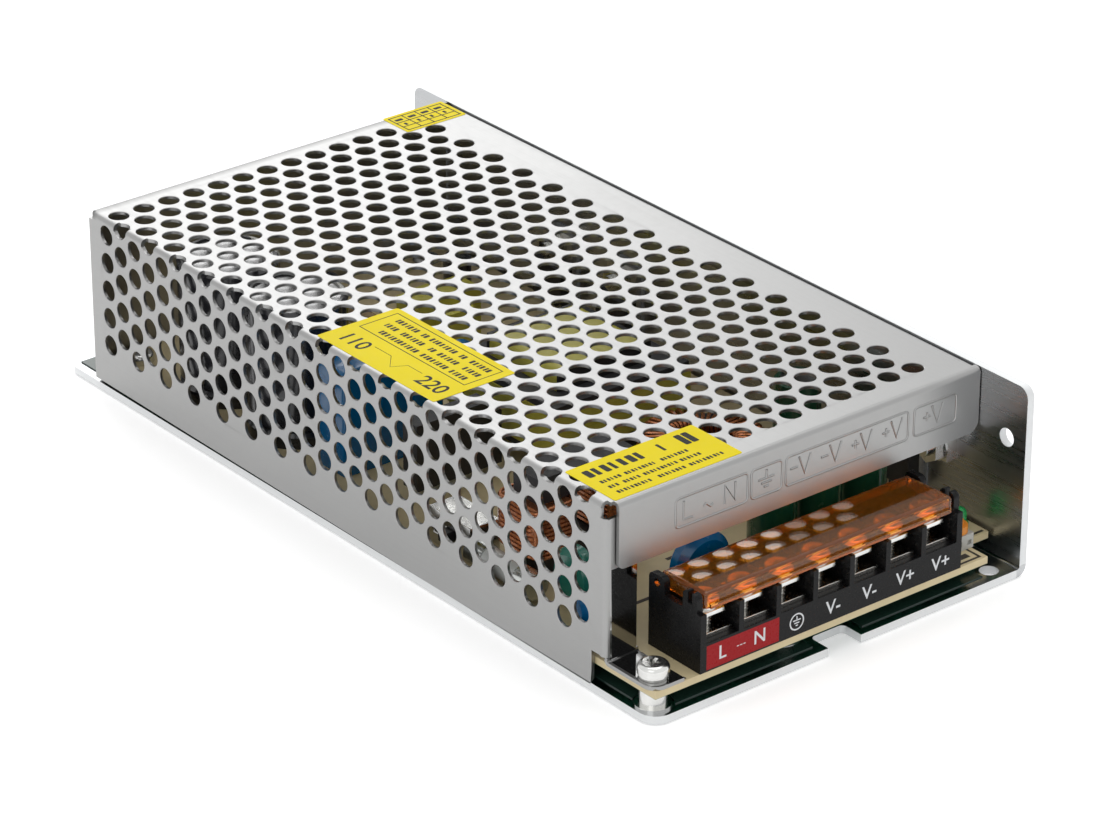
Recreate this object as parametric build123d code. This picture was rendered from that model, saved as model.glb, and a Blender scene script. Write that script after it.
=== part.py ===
"""Enclosed switching power supply: an L-shaped aluminium chassis, a folded perforated cover, a circuit
board with its components, and a seven-way screw terminal block under a hinged lid.

Frame: millimetres, +Z up. The origin is the middle of the case's footprint on the underside of the
chassis. The terminals face -Y and the plain side wall of the chassis is on +X.
"""

from build123d import *
import os

os.makedirs("parts", exist_ok=True)

# Case
case_width = 98.0
case_length = 199.0
case_height = 42.0
left = -case_width / 2
right = case_width / 2
front = -case_length / 2
rear = case_length / 2

# Chassis: one L-shaped aluminium plate
plate = 1.8
plate_bend = 2.4
base_corner = 4.0
wall_corner = 2.5
slot_width = 8.6
slot_depth = 5.4
slot_corner = 1.2
fixing_hole_d = 4.0
base_hole_edge = 3.4
base_hole_side = 7.0
wall_hole_end = 5.4
wall_hole_height = 29.4
wall_inner = right - plate

# Cover: one folded sheet, perforated on its top and left side
sheet = 0.8
least_bend = 0.05
cover_bend = 1.2
cover_gap = 0.2
front_setback = 13.4
rear_setback = 11.0
cover_foot = 0.7
lip_clearance = 4.2
lip_relief = 2.4
lip_corner_right = 2.6
lip_corner_left = 1.4
flap_gap = 0.3
fold_straight = 0.4
return_flange = 7.8
return_height = 3.2
return_setback = 0.2
tab_width = 7.8
tab_side = 0.5
tab_edge = 0.7
tab_corner = 3.0
notch_setback = 2.6
notch_height = 9.0
side_flange = 7.0
fold_leg = cover_bend + fold_straight
cover_right = wall_inner - cover_gap
lip_y = front + front_setback
cover_rear = rear - rear_setback
cover_bottom = plate + cover_foot
cover_under = case_height - sheet

# Perforation: two punched sections that meet at a seam
hole_d = 4.5
punch_margin = 0.05
hole_pitch = 6.5
row_pitch = 5.14
first_row = 8.3
rear_margin = 6.0
first_column = 4.0
right_margin = 12.0
foot_margin = 9.9
fold_gain = 0.55
seam_shift = -0.6
seam_step = 0.34
section_rows = int((cover_rear - lip_y - first_row - rear_margin) / row_pitch + 1) // 2
top_columns = int((cover_right - left - first_column - right_margin) / hole_pitch) + 1
side_holes = int((case_height - fold_gain - cover_bottom - foot_margin) / hole_pitch) + 1

# Board and what carries it
board_thick = 1.6
standoff_height = 3.8
standoff_d = 5.6
standoff_foot_d = 7.4
standoff_foot = 0.5
board_edge_gap = 0.4
board_left = left + sheet + board_edge_gap
board_right = wall_inner - 0.8
board_front = front + 0.8
board_rear = cover_rear - sheet - 1.2
board_corner_width = 7.5
board_corner_depth = 7.7
board_under = plate + standoff_height
board_top = board_under + board_thick
film_thick = 0.25
film_edge = 2.2

# Screws that hold the board and the cover
screw_d = 2.9
screw_hole_d = 3.4
thread_hole_d = 3.0
thread_end = 0.3
pan_head_d = 6.4
pan_head_h = 2.3
pan_round = 0.55
cross_length = 0.55
cross_width = 0.14
washer_d = 6.0
spring_washer_h = 0.8
spring_gap = 0.7
spring_turn = -60.0
tab_screw_x = left + 4.2
tab_screw_y = front + 5.0
post_from_edge = 5.5
rest_from_front = 9.0
screwed_places = [
    (tab_screw_x, tab_screw_y),
    (board_right - 10.4, -58.0),
    (board_left + post_from_edge, board_rear - post_from_edge),
    (board_right - 10.4, board_rear - post_from_edge),
]
rest_place = (-9.0, front + rest_from_front)
flush_head_d = 5.6
flush_head_h = 1.4
flush_play = 0.05
side_screw_height = case_height - 4.6
side_screw_places = (-55.0, 18.0, 74.0)
side_screw_reach = 1.4

# Terminal block
terminals = 7
terminal_pitch = 9.5
block_left = -36.8
barrier = 1.3
end_wall = 1.5
block_front = front + 0.7
block_depth = 15.4
block_floor = 6.2
block_height = 12.6
block_back = 3.2
block_right = block_left + 2 * end_wall + terminals * terminal_pitch - barrier
block_rear = block_front + block_depth
block_top = board_top + block_height
floor_top = board_top + block_floor
ear_width = 4.6
ear_height = 3.6
ear_round = 1.2
pin_d = 1.6
pin_play = 0.05
pin_short = 0.1
pin_from_rear = 2.4
pin_above_top = 1.9
pin_y = block_rear - pin_from_rear
pin_z = block_top + pin_above_top
latch_from_front = 1.2
latch_height = 3.9
latch_width = 4.2
latch_slot = 1.2
latch_slot_h = 2.4

# Terminal lid
lid_gap = 0.3
lid_wall = 0.9
lid_height = 3.3
lid_above_block = 0.5
lid_front_inset = 0.9
lid_rear_inset = 0.9
lid_corner = 1.1
lid_ledge = 0.5
lid_ledge_h = 0.9
lid_heel = 1.2
lid_left = block_left + end_wall + lid_gap
lid_right = block_right - end_wall - lid_gap
lid_front = block_front + lid_front_inset
lid_rear = block_rear - lid_rear_inset
lid_bottom = block_top + lid_above_block
lid_top = lid_bottom + lid_height
lip_bottom = lid_top + lip_clearance

# Terminal contacts, wire clamps and screws
contact_thick = 1.0
contact_width = 7.2
contact_front = 1.6
clamp_size = 6.8
clamp_thick = 1.0
clamp_lift = 2.9
clamp_rib = 0.7
clamp_rib_width = 0.9
clamp_corner = 0.8
terminal_screw_d = 3.4
terminal_bore_d = 3.5
terminal_head_d = 6.0
terminal_head_h = 2.1
terminal_screw_len = 8.2
terminal_pocket_d = 4.4
screw_from_front = 5.8
terminal_y = block_front + screw_from_front
contact_top = floor_top + contact_thick
clamp_bottom = contact_top + clamp_lift

# Voltage trimmer, indicator and voltage selector
trimmer_x = board_right - 9.4
trimmer_y = board_front + 7.2
trimmer_width = 5.2
trimmer_depth = 5.0
trimmer_height = 3.3
trimmer_corner = 0.4
trimmer_window = 1.1
trimmer_window_deep = 0.7
trimmer_window_lift = 0.9
rotor_d = 4.5
rotor_height = 1.8
rotor_boss_d = 2.6
rotor_boss_h = 1.1
rotor_slot = 0.6
rotor_stem_d = 1.4
rotor_stem = 1.6
led_x = board_right - 4.4
led_y = lip_y - 0.9
led_d = 3.0
led_flange_d = 3.8
led_flange_h = 0.9
led_height = 4.4
led_lift = 1.0
lead_d = 0.6
led_pitch = 1.8
selector_y = -30.0
selector_length = 13.6
selector_depth = 7.6
selector_height = 8.0
selector_face = left + 5.2
knob_size = 2.4
knob_reach = 2.2
knob_hold = 2.6
knob_play = 0.15
selector_travel = 4.0

# Mains-side components
bulk_d = 22.0
bulk_headroom = 3.0
bulk_height = cover_under - board_top - bulk_headroom
bulk_places = ((board_left + 13.6, 34.0), (board_left + 13.6, 58.0))
groove_deep = 0.6
groove_wide = 1.6
groove_lift = 2.6
can_rim = 1.4
can_dish = 0.4
film_cap_size = (26.0, 10.0, 24.0)
film_cap_place = (-28.0, 13.6)
film_cap_round = 0.8
disc_lift = 1.6
disc_pitch = 5.0
thermistor = (board_left + 9.3, -64.0, 12.0, 4.6, 90.0)
varistor = (-18.0, -76.5, 14.0, 4.6, 0.0)
safety_capacitors = ((board_left + 3.6, -73.4, 7.5, 3.4, 70.0), (4.0, 28.0, 9.0, 3.8, 0.0))
disc_rim = 0.3
fuse_length = 20.0
fuse_d = 5.2
fuse_cap = 5.0
fuse_cap_extra = 0.25
fuse_place = (board_left + 4.0, -48.0)
fuse_lift = 1.4
choke_place = (-25.0, -46.0)
choke_core = (24.0, 8.0, 22.0)
choke_leg = 5.6
choke_wrap = 3.1
choke_play = 0.15
bridge_size = (22.0, 4.6, 15.0)
bridge_place = (-25.0, -7.0)
bridge_legs = 4
bridge_lift = 2.4
bridge_chamfer = 3.0

# Transformers and output side
transformer_place = (8.0, -4.0)
core_size = (36.0, 35.0, 13.0)
core_leg = 5.5
core_middle = 9.6
core_yoke = 5.5
core_height = 5.0
winding_size = (24.4, 22.0)
winding_round = 2.2
bobbin_flange = 0.9
tape_thick = 0.3
tape_width = 10.0
drive_size = (17.0, 16.0, 12.0)
drive_place = (14.0, 48.0)
drive_round = 2.0
ring_place = (14.0, -40.0)
ring_outer = 12.3
ring_inner = 7.0
ring_height = 10.0
ring_turns = 22
ring_round = 1.0
ring_play = 0.05
wire = 1.2
output_cap_d = 10.0
output_cap_height = 20.0
output_cap_places = ((3.0, -74.0), (15.0, -74.0), (27.0, -74.0), (36.2, -44.0))
small_cap_places = ((-12.0, 50.0, 6.3, 11.0), (-4.0, 66.0, 8.0, 14.0), (30.0, 62.0, 6.3, 11.0))
chip_size = (6.4, 19.0, 3.4)
chip_place = (28.0, 30.0)
chip_legs = 8
chip_leg_pitch = 2.3
chip_leg = 0.6
resistor_d = 3.4
resistor_length = 9.0
resistor_places = ((-16.0, 36.0, 0.0), (-16.0, 30.0, 0.0), (6.0, 64.0, 90.0), (31.5, -26.0, 90.0))
resistor_lift = 0.4
resistor_reach = 1.6

# Power devices on the side wall
device_width = 10.0
device_thick = 4.4
device_body_h = 9.2
device_tab = 1.3
device_tab_h = 16.0
device_lift = 2.2
device_hole_d = 3.6
device_hole_lift = 12.6
device_leg_pitch = 2.5
device_leg = 0.8
pad_thick = 0.3
pad_margin = 1.0
rectifier_y = -66.0
transistor_places = (24.0, 46.0)
clip_from_lip = 8.8
clip_screw_y = lip_y + clip_from_lip
clip_height = 6.0
clip_thick = 1.2
clip_foot = 5.6
device_foot = board_top + device_lift
device_screw_height = device_foot + device_hole_lift
device_back = wall_inner - pad_thick
tab_face = device_back - device_tab
clip_face = tab_face - clip_thick
nut_across = 5.5
nut_height = 2.4
plain_washer_d = 6.4
plain_washer_h = 0.6
screw_past_nut = 1.2


def block(x0, x1, y0, y1, z0, z1):
    """A box between two corners."""
    size = Box(x1 - x0, y1 - y0, z1 - z0)
    return Pos((x0 + x1) / 2, (y0 + y1) / 2, (z0 + z1) / 2) * size


def rod(radius, x, y, z0, z1):
    """An upright cylinder between two heights."""
    return Pos(x, y, (z0 + z1) / 2) * Cylinder(radius, z1 - z0)


def rod_x(radius, x0, x1, y, z):
    """A cylinder along X."""
    return Pos((x0 + x1) / 2, y, z) * Rot(0, 90, 0) * Cylinder(radius, x1 - x0)


def rod_y(radius, x, y0, y1, z):
    """A cylinder along Y."""
    return Pos(x, (y0 + y1) / 2, z) * Rot(90, 0, 0) * Cylinder(radius, y1 - y0)


def folded(points, thick, outer_radius):
    """The cross section of a sheet folded once, from its outer corner line.

    points are the free end, the outer corner and the other free end; the thickness lies on the side
    that the two legs enclose.
    """
    start, corner, end = (Vector(*p) for p in points)
    into_first = (end - corner).normalized()
    into_second = (start - corner).normalized()
    inner_start = start + into_first * thick
    inner_corner = corner + (into_first + into_second) * thick
    inner_end = end + into_second * thick
    inner_radius = max(outer_radius - thick, least_bend)
    outline = Polyline(start, corner, end, inner_end, inner_corner, inner_start, close=True)
    face = make_face(outline)
    ends = {corner: outer_radius, inner_corner: inner_radius}
    for place, radius in ends.items():
        vertex = face.vertices().sort_by_distance(place)[0]
        face = fillet(vertex, radius)
    return face


def perforated(width, height, thick, centres):
    """A flat sheet in the XY plane from the origin, with round holes right through it."""
    outer = Wire.make_rect(width, height, Plane((width / 2, height / 2, 0)))
    holes = [Wire.make_circle(hole_d / 2, Plane((x, y, 0))) for x, y in centres]
    return extrude(Face(outer, holes), amount=thick, dir=(0, 0, 1))


# Chassis
def make_chassis():
    corner = (right, 0)
    section = folded(((left, 0), corner, (right, case_height)), plate, plate_bend)
    body = Pos(0, rear, 0) * extrude(Plane.XZ * section, amount=case_length)
    outer_edges = body.edges().filter_by(Axis.Z).filter_by_position(Axis.X, left - 0.1, left + 0.1)
    body = fillet(outer_edges, base_corner)
    wall_edges = body.edges().filter_by(Axis.X).filter_by_position(Axis.Z, case_height - 0.1, case_height + 0.1)
    body = fillet(wall_edges, wall_corner)
    for end, inward in ((front, 1), (rear, -1)):
        half = slot_width / 2
        slot = RectangleRounded(slot_width, 2 * slot_depth, slot_corner)
        body -= extrude(Pos(0, end, -1) * slot, amount=plate + 2)
        body -= rod(fixing_hole_d / 2, right - base_hole_side, end + inward * base_hole_edge, -1, plate + 1)
        body -= rod_x(fixing_hole_d / 2, wall_inner - 1, right + 1, end + inward * wall_hole_end, wall_hole_height)
    for y, z, _ in wall_screws():
        body -= flush_screw(y, z, wall_inner - 1, flush_play)
    return body


def wall_screws():
    """Y, Z and inner end in X of every screw that goes through the side wall."""
    nut_end = nut_height + plain_washer_h + screw_past_nut
    places = [(y, side_screw_height, cover_right - sheet - side_screw_reach) for y in side_screw_places]
    places.append((clip_screw_y, device_screw_height, clip_face - nut_end))
    places += [(y, device_screw_height, tab_face - nut_end) for y in transistor_places]
    return places


def flush_screw(y, z, inner_end, play=0):
    """A countersunk screw from the outside of the side wall; with play it is the hole for one."""
    head = Cone(screw_d / 2 + play, flush_head_d / 2 + play, flush_head_h)
    head = Pos(right - flush_head_h / 2, y, z) * Rot(0, 90, 0) * head
    return head + rod_x(screw_d / 2 + play, inner_end, right - flush_head_h, y, z)


# Cover
def punched_rows():
    """Y, sideways shift and kind of every punched row, from the front to the rear."""
    rows = []
    for i in range(2 * section_rows):
        second = i >= section_rows
        y = lip_y + first_row + i * row_pitch + (seam_step if second else 0)
        rows.append((y, seam_shift if second else 0, i % 2))
    return rows


def punched_holes():
    """Centres of the holes in the top (x, y) and the side (y, z); even rows have one across the fold."""
    top, side = [], []
    for y, shift, odd in punched_rows():
        start = left + first_column + (0 if odd else hole_pitch / 2) + shift
        across = 0 if odd else 1
        top += [(start + (i - across) * hole_pitch, y) for i in range(top_columns + across)]
        first_side = case_height - (hole_pitch - (start - left) + fold_gain)
        side += [(y, first_side - i * hole_pitch) for i in range(side_holes)]
    return top, side


def make_cover():
    flat_front = lip_y + fold_leg
    flat_rear = cover_rear - fold_leg
    side_front = lip_y + sheet + return_setback + fold_leg
    top_from = left + fold_leg
    top_to = cover_right - fold_leg
    side_top = case_height - fold_leg
    radius = hole_d / 2
    margin = radius + punch_margin
    top_places, side_places = punched_holes()
    flat_top = [(x, y) for x, y in top_places if x - margin > top_from]
    flat_side = [(y, z) for y, z in side_places if z + margin < side_top]
    across = [rod(radius, x, y, cover_under - sheet, case_height + 1) for x, y in top_places
              if x - margin <= top_from]
    across += [rod_x(radius, left - 1, left + 2 * sheet, y, z) for y, z in side_places
               if z + margin >= side_top]
    top = Plane((top_from, flat_front, cover_under)) * perforated(
        top_to - top_from, flat_rear - flat_front, sheet,
        [(x - top_from, y - flat_front) for x, y in flat_top])
    side = Plane((left, side_front, cover_bottom), x_dir=(0, 1, 0), z_dir=(1, 0, 0)) * perforated(
        flat_rear - side_front, side_top - cover_bottom, sheet,
        [(y - side_front, z - cover_bottom) for y, z in flat_side])
    side -= block(left - 1, left + 1, side_front - 1, side_front + notch_setback, 0, notch_height)
    left_fold = folded(((left, side_top), (left, case_height), (top_from, case_height)), sheet, cover_bend)
    left_fold = extrude(Plane((0, flat_rear, 0), x_dir=(1, 0, 0), z_dir=(0, -1, 0)) * left_fold,
                        amount=flat_rear - side_front)
    body = (top + side + left_fold) - across
    body += block(left, left + sheet, flat_rear, cover_rear - flap_gap, cover_bottom, side_top)
    body += [cover_lip(flat_front), cover_rear_flap(flat_rear), cover_side_flange(flat_front, flat_rear)]
    body += cover_return(side_front)
    body -= rod(screw_hole_d / 2, tab_screw_x, tab_screw_y, board_top - 1, board_top + sheet + 1)
    for y in side_screw_places:
        body -= rod_x(thread_hole_d / 2, cover_right - 2 * sheet, wall_inner, y, side_screw_height)
    return body


def cover_lip(flat_front):
    """The front lip, folded down over the terminals, with its lower corners rounded."""
    section = folded(((lip_y, lip_bottom), (lip_y, case_height), (flat_front, case_height)), sheet, cover_bend)
    lip_left = left + lip_relief
    lip = extrude(Plane((lip_left, 0, 0), x_dir=(0, 1, 0), z_dir=(1, 0, 0)) * section,
                  amount=cover_right - lip_left)
    for end, corner in ((-1, lip_corner_right), (0, lip_corner_left)):
        lower = lip.edges().filter_by(Axis.Y).group_by(Axis.Z)[0].sort_by(Axis.X)
        lip = fillet(lower[end], corner)
    return lip


def cover_rear_flap(flat_rear):
    """The rear wall, folded down from the top and left free of the side at its corner."""
    section = folded(
        ((cover_rear, cover_bottom), (cover_rear, case_height), (flat_rear, case_height)), sheet, cover_bend)
    flap_left = left + sheet + flap_gap
    return extrude(Plane((flap_left, 0, 0), x_dir=(0, 1, 0), z_dir=(1, 0, 0)) * section,
                   amount=cover_right - flap_left)


def cover_side_flange(flat_front, flat_rear):
    """The narrow flange inside the chassis wall that the side screws hold."""
    section = folded(
        ((cover_right, case_height - side_flange), (cover_right, case_height),
         (cover_right - fold_leg, case_height)), sheet, cover_bend)
    return extrude(Plane((0, flat_rear, 0), x_dir=(1, 0, 0), z_dir=(0, -1, 0)) * section,
                   amount=flat_rear - flat_front)


def cover_return(side_front):
    """The side's front edge, folded inwards behind the lip, and its foot, folded forwards into a tab."""
    face_y = side_front - fold_leg
    low = board_top + fold_leg
    section = folded(((left, side_front), (left, face_y), (left + return_flange, face_y)), sheet, cover_bend)
    flange = extrude(Plane((0, 0, low)) * section, amount=case_height - return_height - low)
    back = face_y + sheet
    tab_front = front + tab_edge
    foot = folded(((back, low), (back, board_top), (tab_front, board_top)), sheet, cover_bend)
    tab = extrude(Plane((left + tab_side, 0, 0), x_dir=(0, 1, 0), z_dir=(1, 0, 0)) * foot, amount=tab_width)
    corner = tab.edges().filter_by(Axis.Z).group_by(Axis.Y)[0].sort_by(Axis.X)[0]
    return flange + fillet(corner, tab_corner)


# Circuit board and what carries it
def make_circuit_board():
    middle = Pos((board_left + board_right) / 2, (board_front + board_rear) / 2)
    outline = middle * Rectangle(board_right - board_left, board_rear - board_front)
    outline -= Pos(board_right, board_front) * Rectangle(2 * board_corner_width, 2 * board_corner_depth)
    for x, y in screwed_places:
        outline -= Pos(x, y) * Circle(screw_hole_d / 2)
    return extrude(Plane((0, 0, board_under)) * outline, amount=board_thick)


def make_insulation_sheet():
    """The film that keeps the solder side away from the chassis."""
    film_left, film_right = left + film_edge, wall_inner - 2 * film_edge
    middle = Pos((film_left + film_right) / 2, 0)
    film = middle * Rectangle(film_right - film_left, case_length - 2 * film_edge)
    for end, inward in ((front, 1), (rear, -1)):
        film -= Pos(0, end) * Rectangle(slot_width + 2 * film_edge, 2 * (slot_depth + film_edge))
        hole = Pos(right - base_hole_side, end + inward * base_hole_edge)
        film -= hole * Circle(fixing_hole_d / 2 + film_edge / 2)
    for x, y in screwed_places + [rest_place]:
        film -= Pos(x, y) * Circle(standoff_foot_d / 2 + film_edge / 4)
    return extrude(Plane((0, 0, plate)) * film, amount=film_thick)


def make_board_standoffs():
    group = []
    for x, y in screwed_places + [rest_place]:
        post = rod(standoff_d / 2, x, y, plate, board_under)
        post += rod(standoff_foot_d / 2, x, y, plate, plate + standoff_foot)
        group.append(post - rod(thread_hole_d / 2, x, y, plate - 1, board_under + 1))
    return group


def pan_screw(x, y, seat, reach, head_d=pan_head_d, head_h=pan_head_h, shank_d=screw_d):
    """An upright pan-head screw whose head sits at a height, with a cross cut in its top."""
    head = rod(head_d / 2, x, y, seat, seat + head_h)
    head = fillet(head.edges().filter_by(GeomType.CIRCLE).sort_by(Axis.Z)[-1], head_h * pan_round)
    for turn in (0, 90):
        cut = Box(head_d * cross_length, head_d * cross_width, head_h)
        head -= Pos(x, y, seat + head_h) * Rot(0, 0, turn) * cut
    return head + rod(shank_d / 2, x, y, seat - reach, seat)


def make_board_screws():
    reach = board_thick + standoff_height - thread_end
    return [pan_screw(x, y, board_top, reach) for x, y in screwed_places[1:]]


def make_tab_screw():
    seat = board_top + sheet + spring_washer_h
    return pan_screw(tab_screw_x, tab_screw_y, seat, seat - plate - thread_end)


def make_tab_spring_washer():
    low = board_top + sheet
    ring = rod(washer_d / 2, tab_screw_x, tab_screw_y, low, low + spring_washer_h)
    ring -= rod(screw_hole_d / 2, tab_screw_x, tab_screw_y, low - 1, low + spring_washer_h + 1)
    gap = block(0, washer_d, -spring_gap / 2, spring_gap / 2, -1, spring_washer_h + 1)
    return ring - Pos(tab_screw_x, tab_screw_y, low) * Rot(0, 0, spring_turn) * gap


def make_cover_side_screws():
    return [flush_screw(y, z, end) for y, z, end in wall_screws()[:len(side_screw_places)]]


# Terminal block
def terminal_x(number):
    first = block_left + end_wall + (terminal_pitch - barrier) / 2
    return first + number * terminal_pitch


def make_terminal_block():
    body = block(block_left, block_right, block_front, block_rear, board_top, floor_top)
    body += block(block_left, block_right, block_rear - block_back, block_rear, floor_top, block_top)
    for number in range(1, terminals):
        x = terminal_x(number) - terminal_pitch / 2
        body += block(x - barrier / 2, x + barrier / 2, block_front, block_rear, floor_top, block_top)
    for x in (block_left, block_right - end_wall):
        body += end_plate(x)
    for number in range(terminals):
        body -= rod(terminal_pocket_d / 2, terminal_x(number), terminal_y, board_top - 1, floor_top + 1)
    return body


def end_plate(x):
    """An end wall with the bearing ear at the rear and the slotted latch ear at the front."""
    wall = block(x, x + end_wall, block_front, block_rear, floor_top, block_top)
    ear = block(x, x + end_wall, block_rear - ear_width, block_rear, block_top, block_top + ear_height)
    latch_y = block_front + latch_from_front
    latch_top = block_top + latch_height
    latch = block(x, x + end_wall, latch_y, latch_y + latch_width, block_top, latch_top)
    for raised in (ear, latch):
        corners = raised.edges().filter_by(Axis.X).group_by(Axis.Z)[-1]
        wall += fillet(corners, ear_round)
    middle = latch_y + latch_width / 2
    wall -= block(x - 1, x + end_wall + 1, middle - latch_slot / 2, middle + latch_slot / 2,
                  latch_top - latch_slot_h, latch_top + 1)
    return wall - rod_x(pin_d / 2 + pin_play, x - 1, x + end_wall + 1, pin_y, pin_z)


def make_terminal_contacts():
    group = []
    for number in range(terminals):
        x = terminal_x(number)
        strip = block(x - contact_width / 2, x + contact_width / 2, block_front + contact_front,
                      block_rear - block_back, floor_top, contact_top)
        group.append(strip - rod(terminal_bore_d / 2, x, terminal_y, floor_top - 1, contact_top + 1))
    return group


def make_terminal_clamp(number):
    """The loose square plate under a terminal screw; ribs on both sides hold the wires in."""
    x, half = terminal_x(number), clamp_size / 2
    top = clamp_bottom + clamp_thick
    body = block(x - half, x + half, terminal_y - half, terminal_y + half, clamp_bottom, top)
    body = chamfer(body.edges().filter_by(Axis.Z), clamp_corner)
    for side in (-1, 1):
        rib = block(-clamp_rib_width / 2, clamp_rib_width / 2, clamp_corner - half, half - clamp_corner,
                    -clamp_rib, 0)
        body += Pos(x + side * (half - clamp_rib_width / 2), terminal_y, clamp_bottom) * rib
    return body - rod(terminal_bore_d / 2, x, terminal_y, clamp_bottom - 1, top + 1)


def make_terminal_screw(number):
    seat = clamp_bottom + clamp_thick
    return pan_screw(terminal_x(number), terminal_y, seat, terminal_screw_len,
                     terminal_head_d, terminal_head_h, terminal_screw_d)


def make_terminal_cover():
    """The see-through lid: a shallow tray turned upside down, on two pins at its rear."""
    lid = block(lid_left, lid_right, lid_front, lid_rear, lid_bottom, lid_top)
    rounded = lid.edges().filter_by(Axis.Z) + lid.edges().group_by(Axis.Z)[-1]
    lid = fillet(rounded, lid_corner)
    lid += block(lid_left + lid_corner, lid_right - lid_corner, lid_front - lid_ledge, lid_front + lid_wall,
                 lid_bottom, lid_bottom + lid_ledge_h)
    lid -= block(lid_left + lid_wall, lid_right - lid_wall, lid_front + lid_wall, lid_rear - lid_wall,
                 lid_bottom - 1, lid_top - lid_wall)
    heel = Polyline((lid_rear + 1, lid_bottom - 1), (lid_rear - lid_heel, lid_bottom - 1),
                    (lid_rear - lid_heel, lid_bottom), (lid_rear, lid_bottom + lid_heel),
                    (lid_rear + 1, lid_bottom + lid_heel), close=True)
    heel = Plane((lid_left - 1, 0, 0), x_dir=(0, 1, 0), z_dir=(1, 0, 0)) * make_face(heel)
    lid -= extrude(heel, amount=lid_right - lid_left + 2)
    lid += rod_x(pin_d / 2, block_left + pin_short, lid_left + lid_wall, pin_y, pin_z)
    lid += rod_x(pin_d / 2, lid_right - lid_wall, block_right - pin_short, pin_y, pin_z)
    return lid


# Trimmer, indicator and selector
def make_voltage_trimmer_body():
    half_x, half_y = trimmer_width / 2, trimmer_depth / 2
    top = board_top + trimmer_height
    body = block(trimmer_x - half_x, trimmer_x + half_x, trimmer_y - half_y, trimmer_y + half_y, board_top, top)
    body = fillet(body.edges().filter_by(Axis.Z), trimmer_corner)
    face = trimmer_y - half_y
    low = board_top + trimmer_window_lift
    for side in (-1, 1):
        x = trimmer_x + side * trimmer_width / 4
        body -= block(x - trimmer_window / 2, x + trimmer_window / 2, face - 1, face + trimmer_window_deep,
                      low, low + trimmer_window)
    return body - rod(rotor_stem_d / 2 + pin_play, trimmer_x, trimmer_y, top - rotor_stem - pin_short, top + 1)


def make_voltage_trimmer_rotor():
    seat = board_top + trimmer_height
    shoulder = seat + rotor_height
    top = shoulder + rotor_boss_h
    rotor = rod(rotor_d / 2, trimmer_x, trimmer_y, seat, shoulder)
    rotor += rod(rotor_boss_d / 2, trimmer_x, trimmer_y, shoulder, top)
    rotor += rod(rotor_stem_d / 2, trimmer_x, trimmer_y, seat - rotor_stem, seat)
    return rotor - block(trimmer_x - rotor_d, trimmer_x + rotor_d, trimmer_y - rotor_slot / 2,
                         trimmer_y + rotor_slot / 2, shoulder, top + 1)


def make_status_led():
    base = board_top + led_lift
    straight = base + led_height - led_d / 2
    lens = rod(led_d / 2, led_x, led_y, base, straight) + Pos(led_x, led_y, straight) * Sphere(led_d / 2)
    return lens + rod(led_flange_d / 2, led_x, led_y, base, base + led_flange_h)


def selector_window():
    """The opening in the selector's face that its knob slides in."""
    half = knob_size / 2 + knob_play
    middle = board_top + selector_height / 2
    return (selector_y - half, selector_y + half + selector_travel, middle - half, middle + half)


def make_selector_body():
    body = block(selector_face, selector_face + selector_depth, selector_y - selector_length / 2,
                 selector_y + selector_length / 2, board_top, board_top + selector_height)
    y0, y1, z0, z1 = selector_window()
    return body - block(selector_face - 1, selector_face + knob_hold + knob_play, y0, y1, z0, z1)


def make_selector_slider():
    middle, half = board_top + selector_height / 2, knob_size / 2
    knob = block(selector_face - knob_reach, selector_face + knob_hold, selector_y - half, selector_y + half,
                 middle - half, middle + half)
    outer = knob.edges().group_by(Axis.X)[0]
    return chamfer(outer, knob_play * 2)


# Mains-side components
def can_capacitor(x, y, diameter, height):
    """An upright capacitor: a sleeved can with the groove above its seal and a dished, scored top."""
    radius = diameter / 2
    scale = min(1, diameter / bulk_d + can_dish)
    groove, rim = groove_deep * scale, can_rim * scale
    low, wide = groove_lift * scale, groove_wide * scale
    can = Polyline((0, 0), (radius, 0), (radius, low), (radius - groove, low + wide / 2), (radius, low + wide),
                   (radius, height - rim / 2), (radius - rim / 2, height), (radius - rim, height),
                   (radius - rim, height - can_dish), (0, height - can_dish), close=True)
    can = revolve(Plane.XZ * make_face(can), Axis.Z)
    return Pos(x, y, board_top) * can


def disc_component(x, y, diameter, thick, turn):
    """A coated disc standing on edge; its flat sides are bevelled at the rim."""
    disc = chamfer(Cylinder(diameter / 2, thick).edges().filter_by(GeomType.CIRCLE), thick * disc_rim)
    return Pos(x, y, board_top + disc_lift + diameter / 2) * Rot(0, 0, turn) * Rot(90, 0, 0) * disc


def make_film_capacitor():
    x, y = film_cap_place
    width, depth, height = film_cap_size
    body = block(x - width / 2, x + width / 2, y - depth / 2, y + depth / 2, board_top, board_top + height)
    return fillet(body.edges().filter_by(Axis.Z) + body.edges().group_by(Axis.Z)[-1], film_cap_round)


def make_fuse():
    x, y = fuse_place
    middle = board_top + fuse_lift + fuse_d / 2
    ends = fuse_d / 2 + fuse_cap_extra
    fuse = rod_y(fuse_d / 2, x, y - fuse_length / 2, y + fuse_length / 2, middle)
    fuse += rod_y(ends, x, y - fuse_length / 2, y - fuse_length / 2 + fuse_cap, middle)
    return fuse + rod_y(ends, x, y + fuse_length / 2 - fuse_cap, y + fuse_length / 2, middle)


def make_filter_choke_core():
    x, y = choke_place
    width, depth, height = choke_core
    frame = block(-width / 2, width / 2, -depth / 2, depth / 2, 0, height)
    inner = width / 2 - choke_leg
    frame -= block(-inner, inner, -depth, depth, choke_leg, height - choke_leg)
    return Pos(x, y, board_top) * frame


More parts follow.
